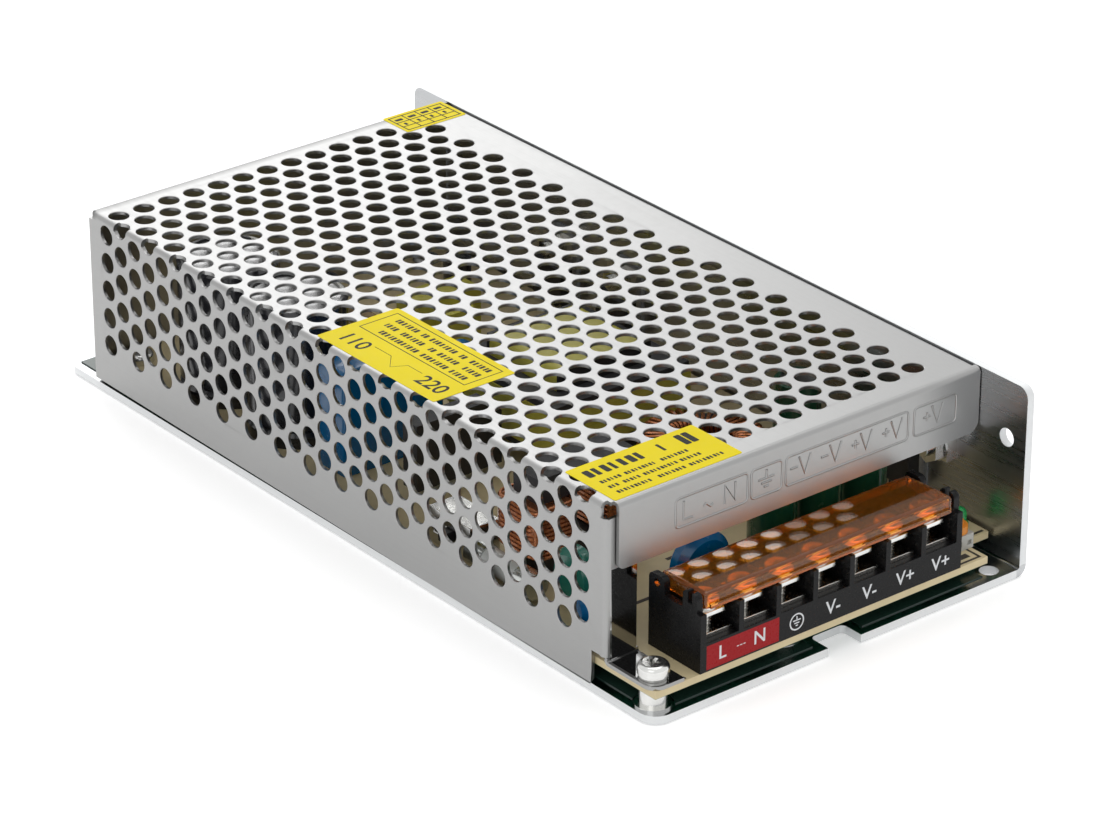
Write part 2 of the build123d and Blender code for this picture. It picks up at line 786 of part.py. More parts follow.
def make_filter_choke_windings():
    x, y = choke_place
    width, depth, height = choke_core
    half_x = choke_leg / 2 + choke_wrap
    half_y = depth / 2 + choke_wrap
    group = []
    for side in (-1, 1):
        coil = block(-half_x, half_x, -half_y, half_y, choke_leg, height - choke_leg)
        coil = fillet(coil.edges().filter_by(Axis.Z), choke_wrap)
        leg_x, leg_y = choke_leg / 2 + choke_play, depth / 2 + choke_play
        coil -= block(-leg_x, leg_x, -leg_y, leg_y, 0, height)
        group.append(Pos(x + side * (width - choke_leg) / 2, y, board_top) * coil)
    return group


def make_bridge_rectifier():
    x, y = bridge_place
    width, thick, height = bridge_size
    low = board_top + bridge_lift
    body = block(x - width / 2, x + width / 2, y - thick / 2, y + thick / 2, low, low + height)
    return chamfer(body.edges().filter_by(Axis.Y).sort_by(Axis.Z)[-2:].sort_by(Axis.X)[-1], bridge_chamfer)


# Main transformer
def make_transformer_core():
    """A pair of E cores face to face: two outer legs, two yokes and the leg through the winding."""
    x, y = transformer_place
    width, depth, height = core_size
    frame = block(-width / 2, width / 2, -depth / 2, depth / 2, 0, height)
    for side in (-1, 1):
        near, far = core_middle / 2, width / 2 - core_leg
        x0, x1 = sorted((side * near, side * far))
        frame -= block(x0, x1, core_yoke - depth / 2, depth / 2 - core_yoke, -1, height + 1)
    return Pos(x, y, board_top + core_height) * frame


def winding_reach():
    """Half length of the winding between the bobbin's flanges, along Y."""
    return core_size[1] / 2 - core_yoke - bobbin_flange


def make_transformer_winding():
    x, y = transformer_place
    width, height = winding_size
    reach = winding_reach()
    middle = core_height + core_size[2] / 2
    coil = block(-width / 2, width / 2, -reach, reach, middle - height / 2, middle + height / 2)
    coil = fillet(coil.edges().filter_by(Axis.Y), winding_round)
    hole_x, hole_z = core_middle / 2 + choke_play, core_size[2] / 2 + choke_play
    coil -= block(-hole_x, hole_x, -reach - 1, reach + 1, middle - hole_z, middle + hole_z)
    return Pos(x, y, board_top) * coil


def make_transformer_bobbin():
    """The two flanges of the bobbin, each with the foot that holds its pins."""
    x, y = transformer_place
    width, height = winding_size
    middle = core_height + core_size[2] / 2
    top = middle + height / 2
    hole_x, hole_z = core_middle / 2 + choke_play, core_size[2] / 2 + choke_play
    reach = winding_reach()
    group = []
    for side in (-1, 1):
        y0, y1 = sorted((side * reach, side * (reach + bobbin_flange)))
        flange = block(-width / 2, width / 2, y0, y1, 0, top)
        flange -= block(-hole_x, hole_x, y0 - 1, y1 + 1, middle - hole_z, middle + hole_z)
        y0, y1 = sorted((side * (reach + bobbin_flange), side * core_size[1] / 2))
        flange += block(-width / 2, width / 2, y0, y1, 0, core_height)
        group.append(Pos(x, y, board_top) * flange)
    return group


def make_transformer_tape():
    """The band of tape round the outside of the core."""
    x, y = transformer_place
    width, depth, height = core_size
    low = core_height + (height - tape_width) / 2
    band = block(-width / 2 - tape_thick, width / 2 + tape_thick, -depth / 2 - tape_thick,
                 depth / 2 + tape_thick, low, low + tape_width)
    band -= block(-width / 2, width / 2, -depth / 2, depth / 2, low - 1, low + tape_width + 1)
    return Pos(x, y, board_top) * band


def make_drive_transformer():
    x, y = drive_place
    width, depth, height = drive_size
    core = block(-width / 2, width / 2, -depth / 4, depth / 4, 0, height)
    coil = block(-width / 4, width / 4, -depth / 2, depth / 2, 0, height - drive_round)
    return Pos(x, y, board_top) * (core + fillet(coil.edges().filter_by(Axis.Z), drive_round))


# Output side
def make_output_choke_core():
    x, y = ring_place
    ring = Cylinder(ring_outer, ring_height) - Cylinder(ring_inner, ring_height + 2)
    ring = chamfer(ring.edges().filter_by(GeomType.CIRCLE), ring_round)
    return Pos(x, y, board_top + wire + ring_height / 2) * ring


def make_output_choke_winding():
    """Turns of thick wire wound round the ring, each one a closed frame about its section."""
    x, y = ring_place
    length = ring_outer - ring_inner
    turn = Box(length + 2 * wire + ring_play, wire, ring_height + 2 * wire)
    turn -= Box(length + ring_play, 2 * wire, ring_height)
    centre = (ring_outer + ring_inner - ring_play) / 2
    middle = Pos(x, y, board_top + wire + ring_height / 2)
    return [middle * Rot(0, 0, i * 360 / ring_turns) * Pos(centre, 0, 0) * turn for i in range(ring_turns)]


def make_output_capacitors():
    return [can_capacitor(x, y, output_cap_d, output_cap_height) for x, y in output_cap_places]


def make_small_capacitors():
    return [can_capacitor(x, y, diameter, height) for x, y, diameter, height in small_cap_places]


def make_control_chip():
    x, y = chip_place
    width, length, height = chip_size
    body = block(-width / 2, width / 2, -length / 2, length / 2, chip_leg, height)
    reach = (chip_legs - 1) * chip_leg_pitch / 2
    for i in range(chip_legs):
        place = i * chip_leg_pitch - reach
        body += block(-width / 2 - chip_leg, width / 2 + chip_leg, place - chip_leg / 2, place + chip_leg / 2,
                      0, height / 2)
    return Pos(x, y, board_top) * body


def make_resistors():
    group = []
    for x, y, turn in resistor_places:
        body = Rot(0, 90, 0) * Cylinder(resistor_d / 2, resistor_length)
        middle = board_top + resistor_lift + resistor_d / 2
        group.append(Pos(x, y, middle) * Rot(0, 0, turn) * body)
    return group


def resistor_leads(x, y, turn):
    """Both leads of a resistor, straight out of its ends and down to the board."""
    middle = resistor_lift + resistor_d / 2
    near, far = resistor_length / 2, resistor_length / 2 + resistor_reach
    group = []
    for side in (-1, 1):
        lead = rod_x(lead_d / 2, near, far, 0, middle) + rod(lead_d / 2, far, 0, 0, middle)
        lead += Pos(far, 0, middle) * Sphere(lead_d / 2)
        group.append(Pos(x, y, board_top) * Rot(0, 0, turn if side > 0 else turn + 180) * lead)
    return group


def upright_leads(x, y, pitch, turn, top, count=2):
    """Straight leads in a row, from the board up to a height."""
    first = -(count - 1) * pitch / 2
    places = [Rot(0, 0, turn) * Pos(first + i * pitch, 0) for i in range(count)]
    return [Pos(x, y, (board_top + top) / 2) * place * Cylinder(lead_d / 2, top - board_top) for place in places]


def make_component_leads():
    group = upright_leads(led_x, led_y, led_pitch, 0, board_top + led_lift)
    for x, y, diameter, thick, turn in (thermistor, varistor) + safety_capacitors:
        body = disc_component(x, y, diameter, thick, turn)
        centre = board_top + disc_lift + diameter / 2
        group += [lead - body for lead in upright_leads(x, y, disc_pitch, turn, centre)]
    group += upright_leads(*bridge_place, disc_pitch, 0, board_top + bridge_lift, bridge_legs)
    x, y = fuse_place
    length = fuse_length - fuse_cap
    group += upright_leads(x, y, length, 90, board_top + fuse_lift - fuse_cap_extra)
    for place in resistor_places:
        group += resistor_leads(*place)
    return group


# Power devices on the side wall
def power_device(y, drilled):
    """A tabbed device: moulded body, bare metal tab behind it and three legs."""
    width, top = device_width / 2, device_foot + device_tab_h
    device = block(tab_face, device_back, y - width, y + width, device_foot, top)
    moulding = block(device_back - device_thick, tab_face, y - width, y + width, device_foot,
                     device_foot + device_body_h)
    device += chamfer(moulding.edges().filter_by(Axis.Y).group_by(Axis.X)[0], device_tab / 2)
    for i in (-1, 0, 1):
        leg = y + i * device_leg_pitch
        device += block(tab_face - device_leg, tab_face, leg - device_leg / 2, leg + device_leg / 2, board_top,
                        device_foot)
    if drilled:
        device -= rod_x(device_hole_d / 2, tab_face - 1, device_back + 1, y, device_screw_height)
    return device


def make_output_rectifier():
    return power_device(rectifier_y, False)


def make_switching_transistors():
    return [power_device(y, True) for y in transistor_places]


def make_insulating_pads():
    group = []
    half = device_width / 2 + pad_margin
    for y in (rectifier_y,) + transistor_places:
        pad = block(device_back, wall_inner, y - half, y + half, device_foot - pad_margin,
                    device_foot + device_tab_h + pad_margin)
        if y != rectifier_y:
            pad -= rod_x(device_hole_d / 2, device_back - 1, wall_inner + 1, y, device_screw_height)
        group.append(pad)
    return group


def make_device_clip():
    """The clip that presses the output rectifier's tab on the wall, on a foot of its own."""
    low, high = device_screw_height - clip_height / 2, device_screw_height + clip_height / 2
    clip_from = clip_screw_y - clip_foot / 2
    clip = block(clip_face, tab_face, clip_from, rectifier_y + device_width / 2, low, high)
    clip += block(tab_face, wall_inner, clip_from, clip_screw_y + clip_foot / 2, low, high)
    clip = fillet(clip.edges().filter_by(Axis.X).group_by(Axis.Y)[-1], clip_thick)
    return clip - rod_x(screw_hole_d / 2, clip_face - 1, wall_inner + 1, clip_screw_y, device_screw_height)


def make_device_screws():
    return [flush_screw(y, z, end) for y, z, end in wall_screws()[len(side_screw_places):]]


def nut_seats():
    """Y and the X of the face that each device screw's washer lies on."""
    return [(clip_screw_y, clip_face)] + [(y, tab_face) for y in transistor_places]


def make_device_washers():
    group = []
    for y, face in nut_seats():
        washer = rod_x(plain_washer_d / 2, face - plain_washer_h, face, y, device_screw_height)
        group.append(washer - rod_x(screw_hole_d / 2, face - 2, face + 1, y, device_screw_height))
    return group


def make_device_nuts():
    group = []
    for y, face in nut_seats():
        nut = extrude(RegularPolygon(nut_across / 2, 6, major_radius=False), amount=nut_height)
        nut = Pos(face - plain_washer_h, y, device_screw_height) * Rot(0, -90, 0) * nut
        group.append(nut - rod_x(thread_hole_d / 2, face - 6, face + 1, y, device_screw_height))
    return group


NODES = {
    "chassis": make_chassis,
    "insulation_sheet": make_insulation_sheet,
    "circuit_board": make_circuit_board,
    "board_standoffs": make_board_standoffs,
    "board_screws": make_board_screws,
    "cover": make_cover,
    "cover_side_screws": make_cover_side_screws,
    "tab_screw": make_tab_screw,
    "tab_spring_washer": make_tab_spring_washer,
    "terminal_block": make_terminal_block,
    "terminal_contacts": make_terminal_contacts,
    "terminal_cover": make_terminal_cover,
    "voltage_trimmer_body": make_voltage_trimmer_body,
    "voltage_trimmer_rotor": make_voltage_trimmer_rotor,
    "status_led": make_status_led,
    "selector_body": make_selector_body,
    "selector_slider": make_selector_slider,
    "film_capacitor": make_film_capacitor,
    "thermistor": lambda: disc_component(*thermistor),
    "varistor": lambda: disc_component(*varistor),
    "safety_capacitors": lambda: [disc_component(*place) for place in safety_capacitors],
    "fuse": make_fuse,
    "filter_choke_core": make_filter_choke_core,
    "filter_choke_windings": make_filter_choke_windings,
    "bridge_rectifier": make_bridge_rectifier,
    "transformer_core": make_transformer_core,
    "transformer_winding": make_transformer_winding,
    "transformer_bobbin": make_transformer_bobbin,
    "transformer_tape": make_transformer_tape,
    "drive_transformer": make_drive_transformer,
    "output_choke_core": make_output_choke_core,
    "output_choke_winding": make_output_choke_winding,
    "output_capacitors": make_output_capacitors,
    "small_capacitors": make_small_capacitors,
    "control_chip": make_control_chip,
    "resistors": make_resistors,
    "component_leads": make_component_leads,
    "output_rectifier": make_output_rectifier,
    "switching_transistors": make_switching_transistors,
    "insulating_pads": make_insulating_pads,
    "device_clip": make_device_clip,
    "device_screws": make_device_screws,
    "device_washers": make_device_washers,
    "device_nuts": make_device_nuts,
}
for number, (x, y) in enumerate(bulk_places, 1):
    NODES[f"bulk_capacitor_{number}"] = lambda x=x, y=y: can_capacitor(x, y, bulk_d, bulk_height)
for number in range(terminals):
    NODES[f"terminal_clamp_{number + 1}"] = lambda number=number: make_terminal_clamp(number)
    NODES[f"terminal_screw_{number + 1}"] = lambda number=number: make_terminal_screw(number)

for name, make in NODES.items():
    shape = make()
    if isinstance(shape, list):
        shape = Compound(children=[solid for piece in shape for solid in piece.solids()])
    export_step(shape, f"parts/{name}.step")
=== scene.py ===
"""Looks of an enclosed power supply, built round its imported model.

Sizes are in metres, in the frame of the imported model: +Z up, terminals towards -Y, plain wall on +X.
"""

import math

import bpy
from bpy.props import FloatProperty, FloatVectorProperty, IntProperty, PointerProperty
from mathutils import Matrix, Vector


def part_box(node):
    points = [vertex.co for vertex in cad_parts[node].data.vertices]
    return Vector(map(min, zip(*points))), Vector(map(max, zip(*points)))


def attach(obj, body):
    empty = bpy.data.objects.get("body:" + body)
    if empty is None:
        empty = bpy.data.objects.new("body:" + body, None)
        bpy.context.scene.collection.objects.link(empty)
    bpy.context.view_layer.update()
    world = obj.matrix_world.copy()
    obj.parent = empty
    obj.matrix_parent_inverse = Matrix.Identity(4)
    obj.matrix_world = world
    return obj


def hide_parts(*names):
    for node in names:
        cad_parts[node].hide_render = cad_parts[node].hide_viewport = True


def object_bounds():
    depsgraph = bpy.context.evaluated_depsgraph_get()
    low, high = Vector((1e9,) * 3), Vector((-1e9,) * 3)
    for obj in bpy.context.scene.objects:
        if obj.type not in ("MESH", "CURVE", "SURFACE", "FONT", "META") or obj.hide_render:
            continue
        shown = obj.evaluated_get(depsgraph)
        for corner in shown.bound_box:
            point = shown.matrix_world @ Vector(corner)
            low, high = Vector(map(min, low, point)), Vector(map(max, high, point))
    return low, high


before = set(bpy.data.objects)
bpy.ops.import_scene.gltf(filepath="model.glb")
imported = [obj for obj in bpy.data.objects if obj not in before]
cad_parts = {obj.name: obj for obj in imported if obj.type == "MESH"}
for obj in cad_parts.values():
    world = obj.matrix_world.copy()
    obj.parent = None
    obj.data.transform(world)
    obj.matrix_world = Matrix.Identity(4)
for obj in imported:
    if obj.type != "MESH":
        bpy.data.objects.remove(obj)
cad_bounds = [list(corner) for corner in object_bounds()]

bl_info = {
    "name": "Enclosed power supply",
    "version": (1, 0, 0),
    "blender": (4, 5, 0),
    "location": "3D View > Sidebar > Power supply",
    "description": "Finishes and fine pieces of an enclosed power supply round its packed model",
    "category": "Object",
}

MM = 0.001

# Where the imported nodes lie
case_low, case_high = (Vector(corner) for corner in cad_bounds)
cover_low, cover_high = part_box("cover")
block_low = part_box("terminal_block")[0]
board_low, board_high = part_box("circuit_board")
lid_low, lid_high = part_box("terminal_cover")
terminal_count = 7
lip_y = -86.1 * MM
lip_bottom = 27.8 * MM
plate_thick = 1.8 * MM
ink_thick = 0.01 * MM
merge_reach = 0.001 * MM
soft_angle = 0.6
thread_angle = 0.5
wire_angle = 0.9
upright = (math.pi / 2, 0, 0)


def colour_prop(name, description, default):
    """A colour that a user may change."""
    return FloatVectorProperty(name=name, description=description, subtype="COLOR", size=3, min=0, max=1,
                               default=default)


def length_prop(name, description, default):
    """A length that a user may change."""
    return FloatProperty(name=name, description=description, subtype="DISTANCE", unit="LENGTH", min=0,
                         default=default)


def angle_prop(name, description, degrees):
    """An angle that a user may change, from a default in degrees."""
    return FloatProperty(name=name, description=description, subtype="ANGLE", default=math.radians(degrees))


def power_prop(name, description, default):
    """A lamp's power that a user may change."""
    return FloatProperty(name=name, description=description, unit="POWER", min=0, default=default)


class CaseLook(bpy.types.PropertyGroup):
    """Finish of the chassis, the cover and what is printed or pressed on them."""
    sheet_colour: colour_prop("Cover", "Colour of the satin cover sheet", (0.365, 0.365, 0.362))
    plate_colour: colour_prop("Chassis", "Colour of the rolled chassis plate", (0.5, 0.51, 0.52))
    edge_colour: colour_prop("Cut edges", "Colour of the chassis plate's cut edges", (0.72, 0.73, 0.735))
    label_colour: colour_prop("Labels", "Ground colour of the stuck labels", (0.76, 0.615, 0.003))
    label_ink: colour_prop("Label ink", "Colour of the labels' print", (0.012, 0.012, 0.01))
    label_thick: length_prop("Label thickness", "Thickness of the labels", 0.06 * MM)
    hole_rim: length_prop("Hole rim", "Width of the rounding on the punched holes", 0.12 * MM)
    mark_wire: length_prop("Pressed line", "Radius of the lines pressed into the lip", 0.28 * MM)


class TerminalLook(bpy.types.PropertyGroup):
    """Finish of the terminal block, its screws and its lid."""
    block_colour: colour_prop("Block", "Colour of the moulded block", (0.007, 0.007, 0.0075))
    field_colour: colour_prop("Mains field", "Colour of the printed field at the mains terminals",
                              (0.34, 0.006, 0.009))
    ink_colour: colour_prop("Marks", "Colour of the terminal marks", (0.8, 0.82, 0.84))
    lid_colour: colour_prop("Lid", "Colour of the clear lid", (1.0, 0.4, 0.045))
    mark_height: length_prop("Mark height", "Height of the terminal marks", 3.1 * MM)
    lid_fall: length_prop("Lid fall", "How much the lid's top falls to the rear", 0.4 * MM)
    thread_pitch: length_prop("Thread pitch", "Pitch of the terminal screws", 0.6 * MM)


class InnerLook(bpy.types.PropertyGroup):
    """Finish of the board and the components."""
    board_colour: colour_prop("Board", "Colour of the bare laminate", (0.72, 0.6, 0.36))
    mask_colour: colour_prop("Solder side", "Colour of the coated solder side", (0.012, 0.09, 0.05))
    copper_colour: colour_prop("Wire", "Colour of the enamelled wire", (0.5, 0.17, 0.06))
    tape_colour: colour_prop("Tape", "Colour of the winding tape", (0.6, 0.55, 0.09))
    strands: IntProperty(name="Strands", description="Turns of wire shown on the ring choke", min=8, max=80,
                         default=44)


class StageLook(bpy.types.PropertyGroup):
    """Floor, lamps and camera."""
    floor_colour: colour_prop("Floor", "Colour of the floor", (0.86, 0.86, 0.86))
    floor_glow: FloatProperty(name="Floor glow", description="White that the camera adds to the floor", min=0,
                              default=0.35)
    lens: FloatProperty(name="Lens", description="Focal length of the camera", unit="CAMERA", min=20, max=400,
                        default=156.54)
    camera_distance: length_prop("Camera distance", "Distance from the camera to its target", 0.98165)
    azimuth: angle_prop("Azimuth", "Camera's turn about the object", -38.993)
    elevation: angle_prop("Elevation", "Camera's height angle", 26.684)
    roll: angle_prop("Roll", "Camera's roll", 0.093)
    top_light: power_prop("Top light", "Power of the large lamp above", 6.0)
    back_light: power_prop("Back light", "Power of the lamp behind", 9.4)
    side_light: power_prop("Side light", "Power of the lamp at the left", 2.0)


# Mesh helpers
def deselect_all():
    """Leaves nothing selected, in object mode."""
    if bpy.context.object and bpy.context.object.mode != "OBJECT":
        bpy.ops.object.mode_set(mode="OBJECT")
    bpy.ops.object.select_all(action="DESELECT")


def make_active(obj):
    """Selects one object alone and makes it the active one."""
    deselect_all()
    obj.select_set(True)
    bpy.context.view_layer.objects.active = obj
    return obj


def begin_edit(obj, mode="FACE", everything=False):
    """Opens an object in edit mode with all of it or nothing selected."""
    make_active(obj)
    bpy.ops.object.mode_set(mode="EDIT")
    bpy.ops.mesh.select_mode(type=mode)
    bpy.ops.mesh.select_all(action="SELECT" if everything else "DESELECT")


def end_edit():
    """Goes back to object mode."""
    bpy.ops.object.mode_set(mode="OBJECT")


def choose(obj, kind, test):
    """Selects the vertices, edges or faces that pass a test on their middle point and themselves."""
    bpy.ops.object.mode_set(mode="OBJECT")
    mesh = obj.data
    for part in (mesh.vertices, mesh.edges, mesh.polygons):
        part.foreach_set("select", [False] * len(part))
    if kind == "EDGE":
        for edge in mesh.edges:
            ends = [mesh.vertices[i].co for i in edge.vertices]
            edge.select = bool(test((ends[0] + ends[1]) / 2, ends[1] - ends[0]))
    elif kind == "FACE":
        for face in mesh.polygons:
            face.select = bool(test(face.center, face.normal))
    else:
        for vertex in mesh.vertices:
            vertex.select = bool(test(vertex.co, vertex.normal))
    bpy.ops.object.mode_set(mode="EDIT")
    bpy.ops.mesh.select_mode(type=kind)


def apply_modifier(obj, name, kind, **settings):
    """Adds a modifier with its settings and applies it at once."""
    make_active(obj)
    modifier = obj.modifiers.new(name, kind)
    for key, value in settings.items():
        setattr(modifier, key, value)
    bpy.ops.object.modifier_apply(modifier=name)


def cut_out(obj, cutter):
    """Cuts one piece out of another and takes the cutter away."""
    apply_modifier(obj, "recess", "BOOLEAN", object=cutter, operation="DIFFERENCE", solver="EXACT")
    bpy.data.objects.remove(cutter)


def twin(obj):
    """A copy of an object with its own mesh."""
    copy = obj.copy()
    copy.data = obj.data.copy()
    bpy.context.collection.objects.link(copy)
    return copy


def joined(pieces):
    """Several objects made one."""
    deselect_all()
    for piece in pieces:
        piece.select_set(True)
    bpy.context.view_layer.objects.active = pieces[0]
    bpy.ops.object.join()
    return bpy.context.object


def placed(obj, location=(0, 0, 0), turn=(0, 0, 0)):
    """Turns and moves a mesh, and leaves the object itself at the origin."""
    obj.rotation_euler = turn
    obj.location = location
    make_active(obj)
    bpy.ops.object.transform_apply(location=True, rotation=True, scale=True)
    return obj


def unit_box(size, middle):
    """A plain box of a size about a point, ready to be shaped."""
    deselect_all()
    bpy.ops.mesh.primitive_cube_add(size=1, location=middle)
    box = bpy.context.object
    box.scale = size
    bpy.ops.object.transform_apply(location=True, rotation=True, scale=True)
    return box


def rounded_box(low, high, radius, segments=2):
    """A box between two corners with all its edges rounded."""
    low, high = Vector(low), Vector(high)
    box = unit_box(high - low, (low + high) / 2)
    begin_edit(box, "EDGE", everything=True)
    bpy.ops.mesh.bevel(offset=radius, segments=segments, affect="EDGES")
    end_edit()
    return box


def turned(radius, height, edge):
    """An upright cylinder on the origin whose upper edge is rounded."""
    vertices, segments = 48, 5
    deselect_all()
    bpy.ops.mesh.primitive_cylinder_add(vertices=vertices, radius=radius, depth=height,
                                        location=(0, 0, height / 2))
    body = bpy.context.object
    bpy.ops.object.transform_apply(location=True, rotation=True, scale=True)
    begin_edit(body, "EDGE")
    choose(body, "EDGE", lambda middle, run: middle.z > height * 0.99 and abs(run.z) < height * 0.01)
    bpy.ops.mesh.bevel(offset=edge, segments=segments, affect="EDGES")
    end_edit()
    return body


def select_whole():
    """Selects all of the mesh that is open in edit mode."""
    bpy.ops.mesh.select_all(action="SELECT")


def extrude_by(step):
    """Extrudes what is selected by a step."""
    bpy.ops.mesh.extrude_region_move(TRANSFORM_OT_translate={"value": step})


def close_outward():
    """Turns all faces outward and ends the edit."""
    select_whole()
    bpy.ops.mesh.normals_make_consistent(inside=False)
    end_edit()


def flat_outline(width, depth, corner, segments):
    """A flat rectangle with rounded corners on the origin, open in edit mode with all of it selected."""
    deselect_all()
    bpy.ops.mesh.primitive_plane_add(size=1)
    outline = bpy.context.object
    outline.scale = (width, depth, 1)
    bpy.ops.object.transform_apply(location=False, rotation=False, scale=True)
    begin_edit(outline, "VERT", everything=True)
    bpy.ops.mesh.bevel(offset=corner, segments=segments, affect="VERTICES")
    select_whole()
    return outline


def rounded_plate(width, depth, thick, corner, segments=5):
    """A thin flat plate on the origin with rounded corners."""
    plate = flat_outline(width, depth, corner, segments)
    extrude_by((0, 0, thick))
    close_outward()
    return plate


def wire_frame(width, depth, corner, radius, segments=4, sides=2):
    """A closed loop of round wire along a rectangle with rounded corners, flat on the origin."""
    loop = flat_outline(width, depth, corner, segments)
    bpy.ops.mesh.delete(type="ONLY_FACE")
    end_edit()
    return round_wire(loop, radius, sides)


def round_wire(line, radius, sides=2):
    """Turns a line of edges into round wire."""
    make_active(line)
    bpy.ops.object.convert(target="CURVE")
    line.data.bevel_depth = radius
    line.data.bevel_resolution = sides
    line.data.use_fill_caps = True
    bpy.ops.object.convert(target="MESH")
    return bpy.context.object


def lone_vertex(place):
    """A mesh of one vertex at a place, open in edit mode and ready to be extruded by hand."""
    deselect_all()
    bpy.ops.mesh.primitive_plane_add(size=MM)
    line = bpy.context.object
    begin_edit(line, "VERT", everything=True)
    bpy.ops.mesh.merge(type="CENTER")
    bpy.ops.transform.translate(value=place)
    return line


def stroke(points, radius, sides=2):
    """Round wire along a run of points."""
    line = lone_vertex(points[0])
    for start, end in zip(points, points[1:]):
        extrude_by(Vector(end) - Vector(start))
    end_edit()
    return round_wire(line, radius, sides)


def flat_text(body, size, swell):
    """Characters of ink as a mesh, centred on the origin in the XY plane, with strokes widened by a swell."""
    deselect_all()
    bpy.ops.object.text_add()
    text = bpy.context.object
    text.data.body = body
    text.data.size = size
    text.data.align_x = "CENTER"
    text.data.align_y = "CENTER"
    text.data.extrude = ink_thick / 2
    text.data.offset = swell
    text.data.resolution_u = 4
    bpy.ops.object.convert(target="MESH")
    return bpy.context.object


def merged_copy(node):
    """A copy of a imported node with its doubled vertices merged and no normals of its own."""
    copy = twin(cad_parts[node])
    copy.parent = None
    begin_edit(copy, "VERT", everything=True)
    bpy.ops.mesh.remove_doubles(threshold=merge_reach)
    bpy.ops.mesh.dissolve_degenerate(threshold=merge_reach)
    end_edit()
    bpy.ops.mesh.customdata_custom_splitnormals_clear()
    copy.data.materials.clear()
    return copy


def bevelled_copy(node, width, segments=2):
    """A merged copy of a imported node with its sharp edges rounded."""
    copy = merged_copy(node)
    begin_edit(copy, "VERT", everything=True)
    bpy.ops.mesh.dissolve_limited(angle_limit=0.02)
    end_edit()
    apply_modifier(copy, "edges", "BEVEL", width=width, segments=segments, limit_method="ANGLE",
                   angle_limit=soft_angle, harden_normals=False)
    return copy


def settle(obj, name, body, material, replaces=(), smooth_angle=soft_angle):
    """Names a finished piece, gives it its material and ties it to the body it moves with."""
    make_active(obj)
    bpy.ops.object.transform_apply(location=True, rotation=True, scale=True)
    if smooth_angle:
        bpy.ops.object.shade_smooth_by_angle(angle=smooth_angle)
    obj.name = name
    obj.data.name = name
    obj.data.materials.clear()
    obj.data.materials.append(material)
    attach(obj, body)
    if replaces:
        apply_modifier(obj, "normals", "WEIGHTED_NORMAL", keep_sharp=True, weight=80)
        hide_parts(*replaces)
    return obj


def soften(node, width, name, body, material, segments=2):
    """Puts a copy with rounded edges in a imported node's place."""
    return settle(bevelled_copy(node, width, segments), name, body, material, [node])


def dress(nodes, material):
    """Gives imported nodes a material."""
    for node in nodes:
        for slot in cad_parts[node].material_slots:
            slot.material = material


# Shared surface effects
socket_kinds = {1: "NodeSocketFloat", 3: "NodeSocketVector", 4: "NodeSocketColor"}
texture_outputs = {"Value": "NodeSocketFloat", "Height": "NodeSocketFloat"}


def effect(name, inputs, outputs, fill):
    """A node group made once and found again by its name. An input's kind follows from its default."""
    tree = bpy.data.node_groups.get(name)
    if tree is None:
        tree = bpy.data.node_groups.new(name, "ShaderNodeTree")
        for label, value in inputs.items():
            kind = socket_kinds[len(value) if isinstance(value, tuple) else 1]
            tree.interface.new_socket(name=label, in_out="INPUT", socket_type=kind).default_value = value
        for label, kind in outputs.items():
            tree.interface.new_socket(name=label, in_out="OUTPUT", socket_type=kind)
        nodes = Nodes(tree)
        start, end = tree.nodes.new("NodeGroupInput"), tree.nodes.new("NodeGroupOutput")
        for label, socket in fill(nodes, start.outputs).items():
            tree.links.new(socket, end.inputs[label])
    return tree


